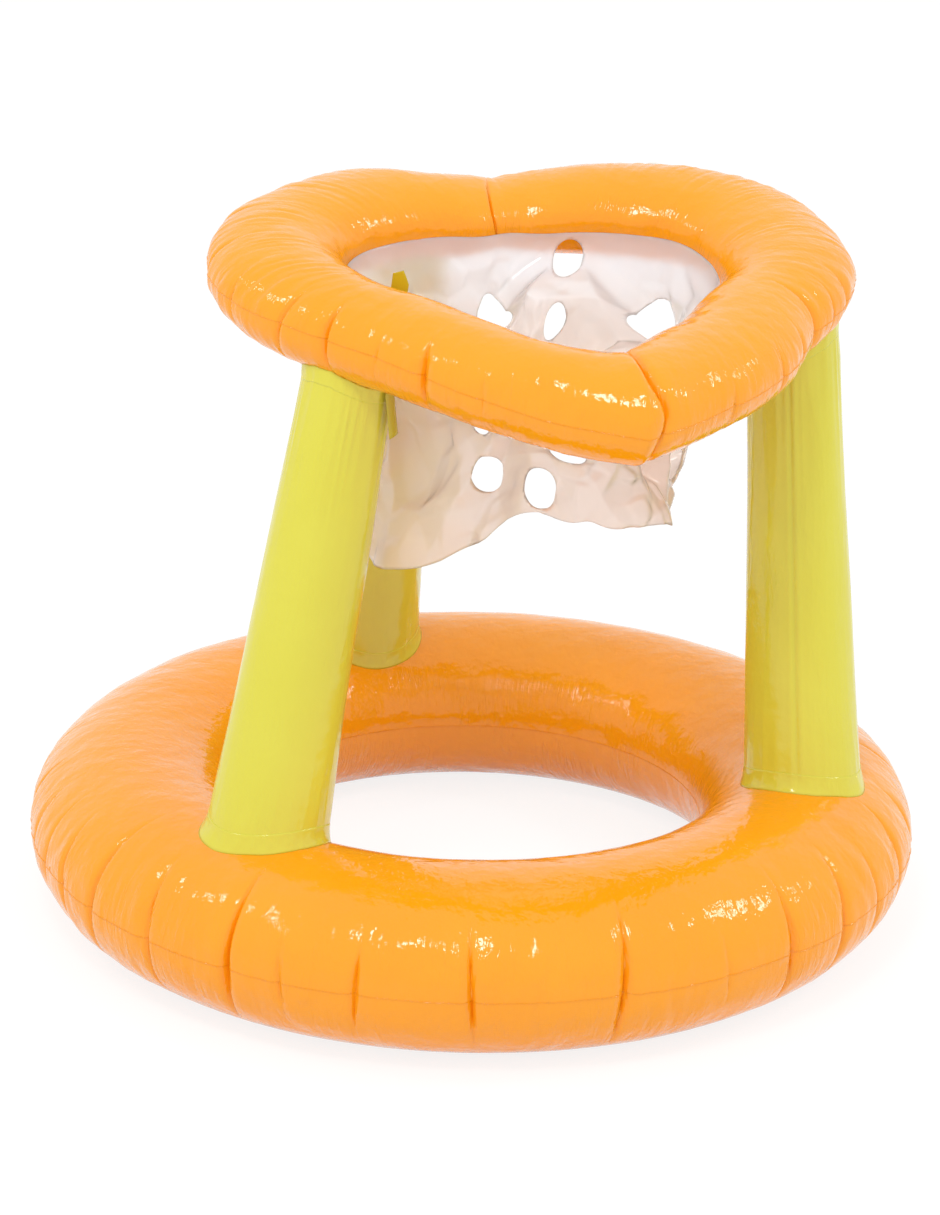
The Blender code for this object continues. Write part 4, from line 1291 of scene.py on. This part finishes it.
for name, (place, outward, *bends) in VALVE_SEATS.items():
    valve = frame_at(place, outward, UP)

    shape = bmesh.new()
    turn_round(shape, [
        (PLATE_BORE, 0.00005), (PLATE_RADIUS, 0.00005), (PLATE_RADIUS, 0.0005),
        (PLATE_BEAD, 0.0006), (PLATE_BEAD, 0.0010), (PLATE_BORE + 0.0008, 0.0010),
        (PLATE_BORE, 0.0008),
    ], True)
    for vert in shape.verts:
        vert.co.z += bent(vert.co, bends)
    finish_moulding(name + "_valve_disc", shape, valve, MAIN_BODY, name + "_valve_plate")

    shape = bmesh.new()
    turn_round(shape, [
        (STEM_BORE, STEM_TOP - 0.0002), (STEM_BORE + 0.0005, STEM_TOP),
        (LIP_RADIUS - 0.0003, STEM_TOP), (LIP_RADIUS, STEM_TOP - 0.0004),
        (LIP_RADIUS, STEM_TOP - LIP_THICKNESS), (STEM_RADIUS, STEM_TOP - LIP_THICKNESS),
        (STEM_RADIUS, STEM_END + LIP_THICKNESS), (LIP_RADIUS, STEM_END + LIP_THICKNESS),
        (LIP_RADIUS, STEM_END + 0.0003), (LIP_RADIUS - 0.0004, STEM_END), (STEM_BORE, STEM_END),
    ], True)
    finish_moulding(name + "_valve_tube", shape, valve, name + "_stem", name + "_valve_stem")

    shape = bmesh.new()
    turn_round(shape, [
        (0, CAP_TOP), (0.0026, CAP_TOP), (0.0030, CAP_TOP - 0.0003), (0.0048, CAP_TOP - 0.0003),
        (0.0052, CAP_TOP), (CAP_RADIUS - 0.0005, CAP_TOP), (CAP_RADIUS, CAP_TOP - 0.0005),
        (CAP_RADIUS, CAP_UNDER), (PLUG_RADIUS, CAP_UNDER), (PLUG_RADIUS, PLUG_END + 0.0022),
        (PLUG_RADIUS * 0.93, PLUG_END + 0.0012), (PLUG_RADIUS * 0.70, PLUG_END + 0.0005),
        (PLUG_RADIUS * 0.38, PLUG_END + 0.0001), (0, PLUG_END),
    ], False)
    # Pull tab opposite the hinge, with a rounded end
    middle = Matrix.Translation((PULL_TAB_MIDDLE, 0, CAP_UNDER + 0.0008))
    made = bmesh.ops.create_cube(
        shape, size=1, matrix=middle @ Matrix.Diagonal((*PULL_TAB_SIZE, 1))
    )
    upright = [
        edge for edge in {edge for vert in made["verts"] for edge in vert.link_edges}
        if abs(edge.verts[0].co.z - edge.verts[1].co.z) > 0.0005
        and edge.verts[0].co.x < PULL_TAB_MIDDLE
    ]
    bmesh.ops.bevel(
        shape, geom=upright, offset=0.0022, segments=6, profile=0.5, affect="EDGES", material=-1
    )
    # Bead of vinyl that the stopper hinges on
    middle = Matrix.Translation((LIP_RADIUS, 0, STEM_TOP + WELD_GAP / 2))
    bmesh.ops.create_cone(
        shape, cap_ends=True, segments=12, radius1=HINGE_BEAD_RADIUS, radius2=HINGE_BEAD_RADIUS,
        depth=HINGE_BEAD_LENGTH, matrix=middle @ Matrix.Rotation(math.pi / 2, 4, "X"),
    )
    finish_moulding(name + "_valve_cap", shape, valve, name + "_stopper", name + "_valve_stopper")

    shape = bmesh.new()
    turn_round(shape, [
        (0, FLAP_TOP), (FLAP_RADIUS, FLAP_TOP), (FLAP_RADIUS, FLAP_TOP - 0.0005),
        (0, FLAP_TOP - 0.0006),
    ], False)
    finish_moulding(name + "_valve_leaf", shape, valve, name + "_flap", name + "_valve_flap")
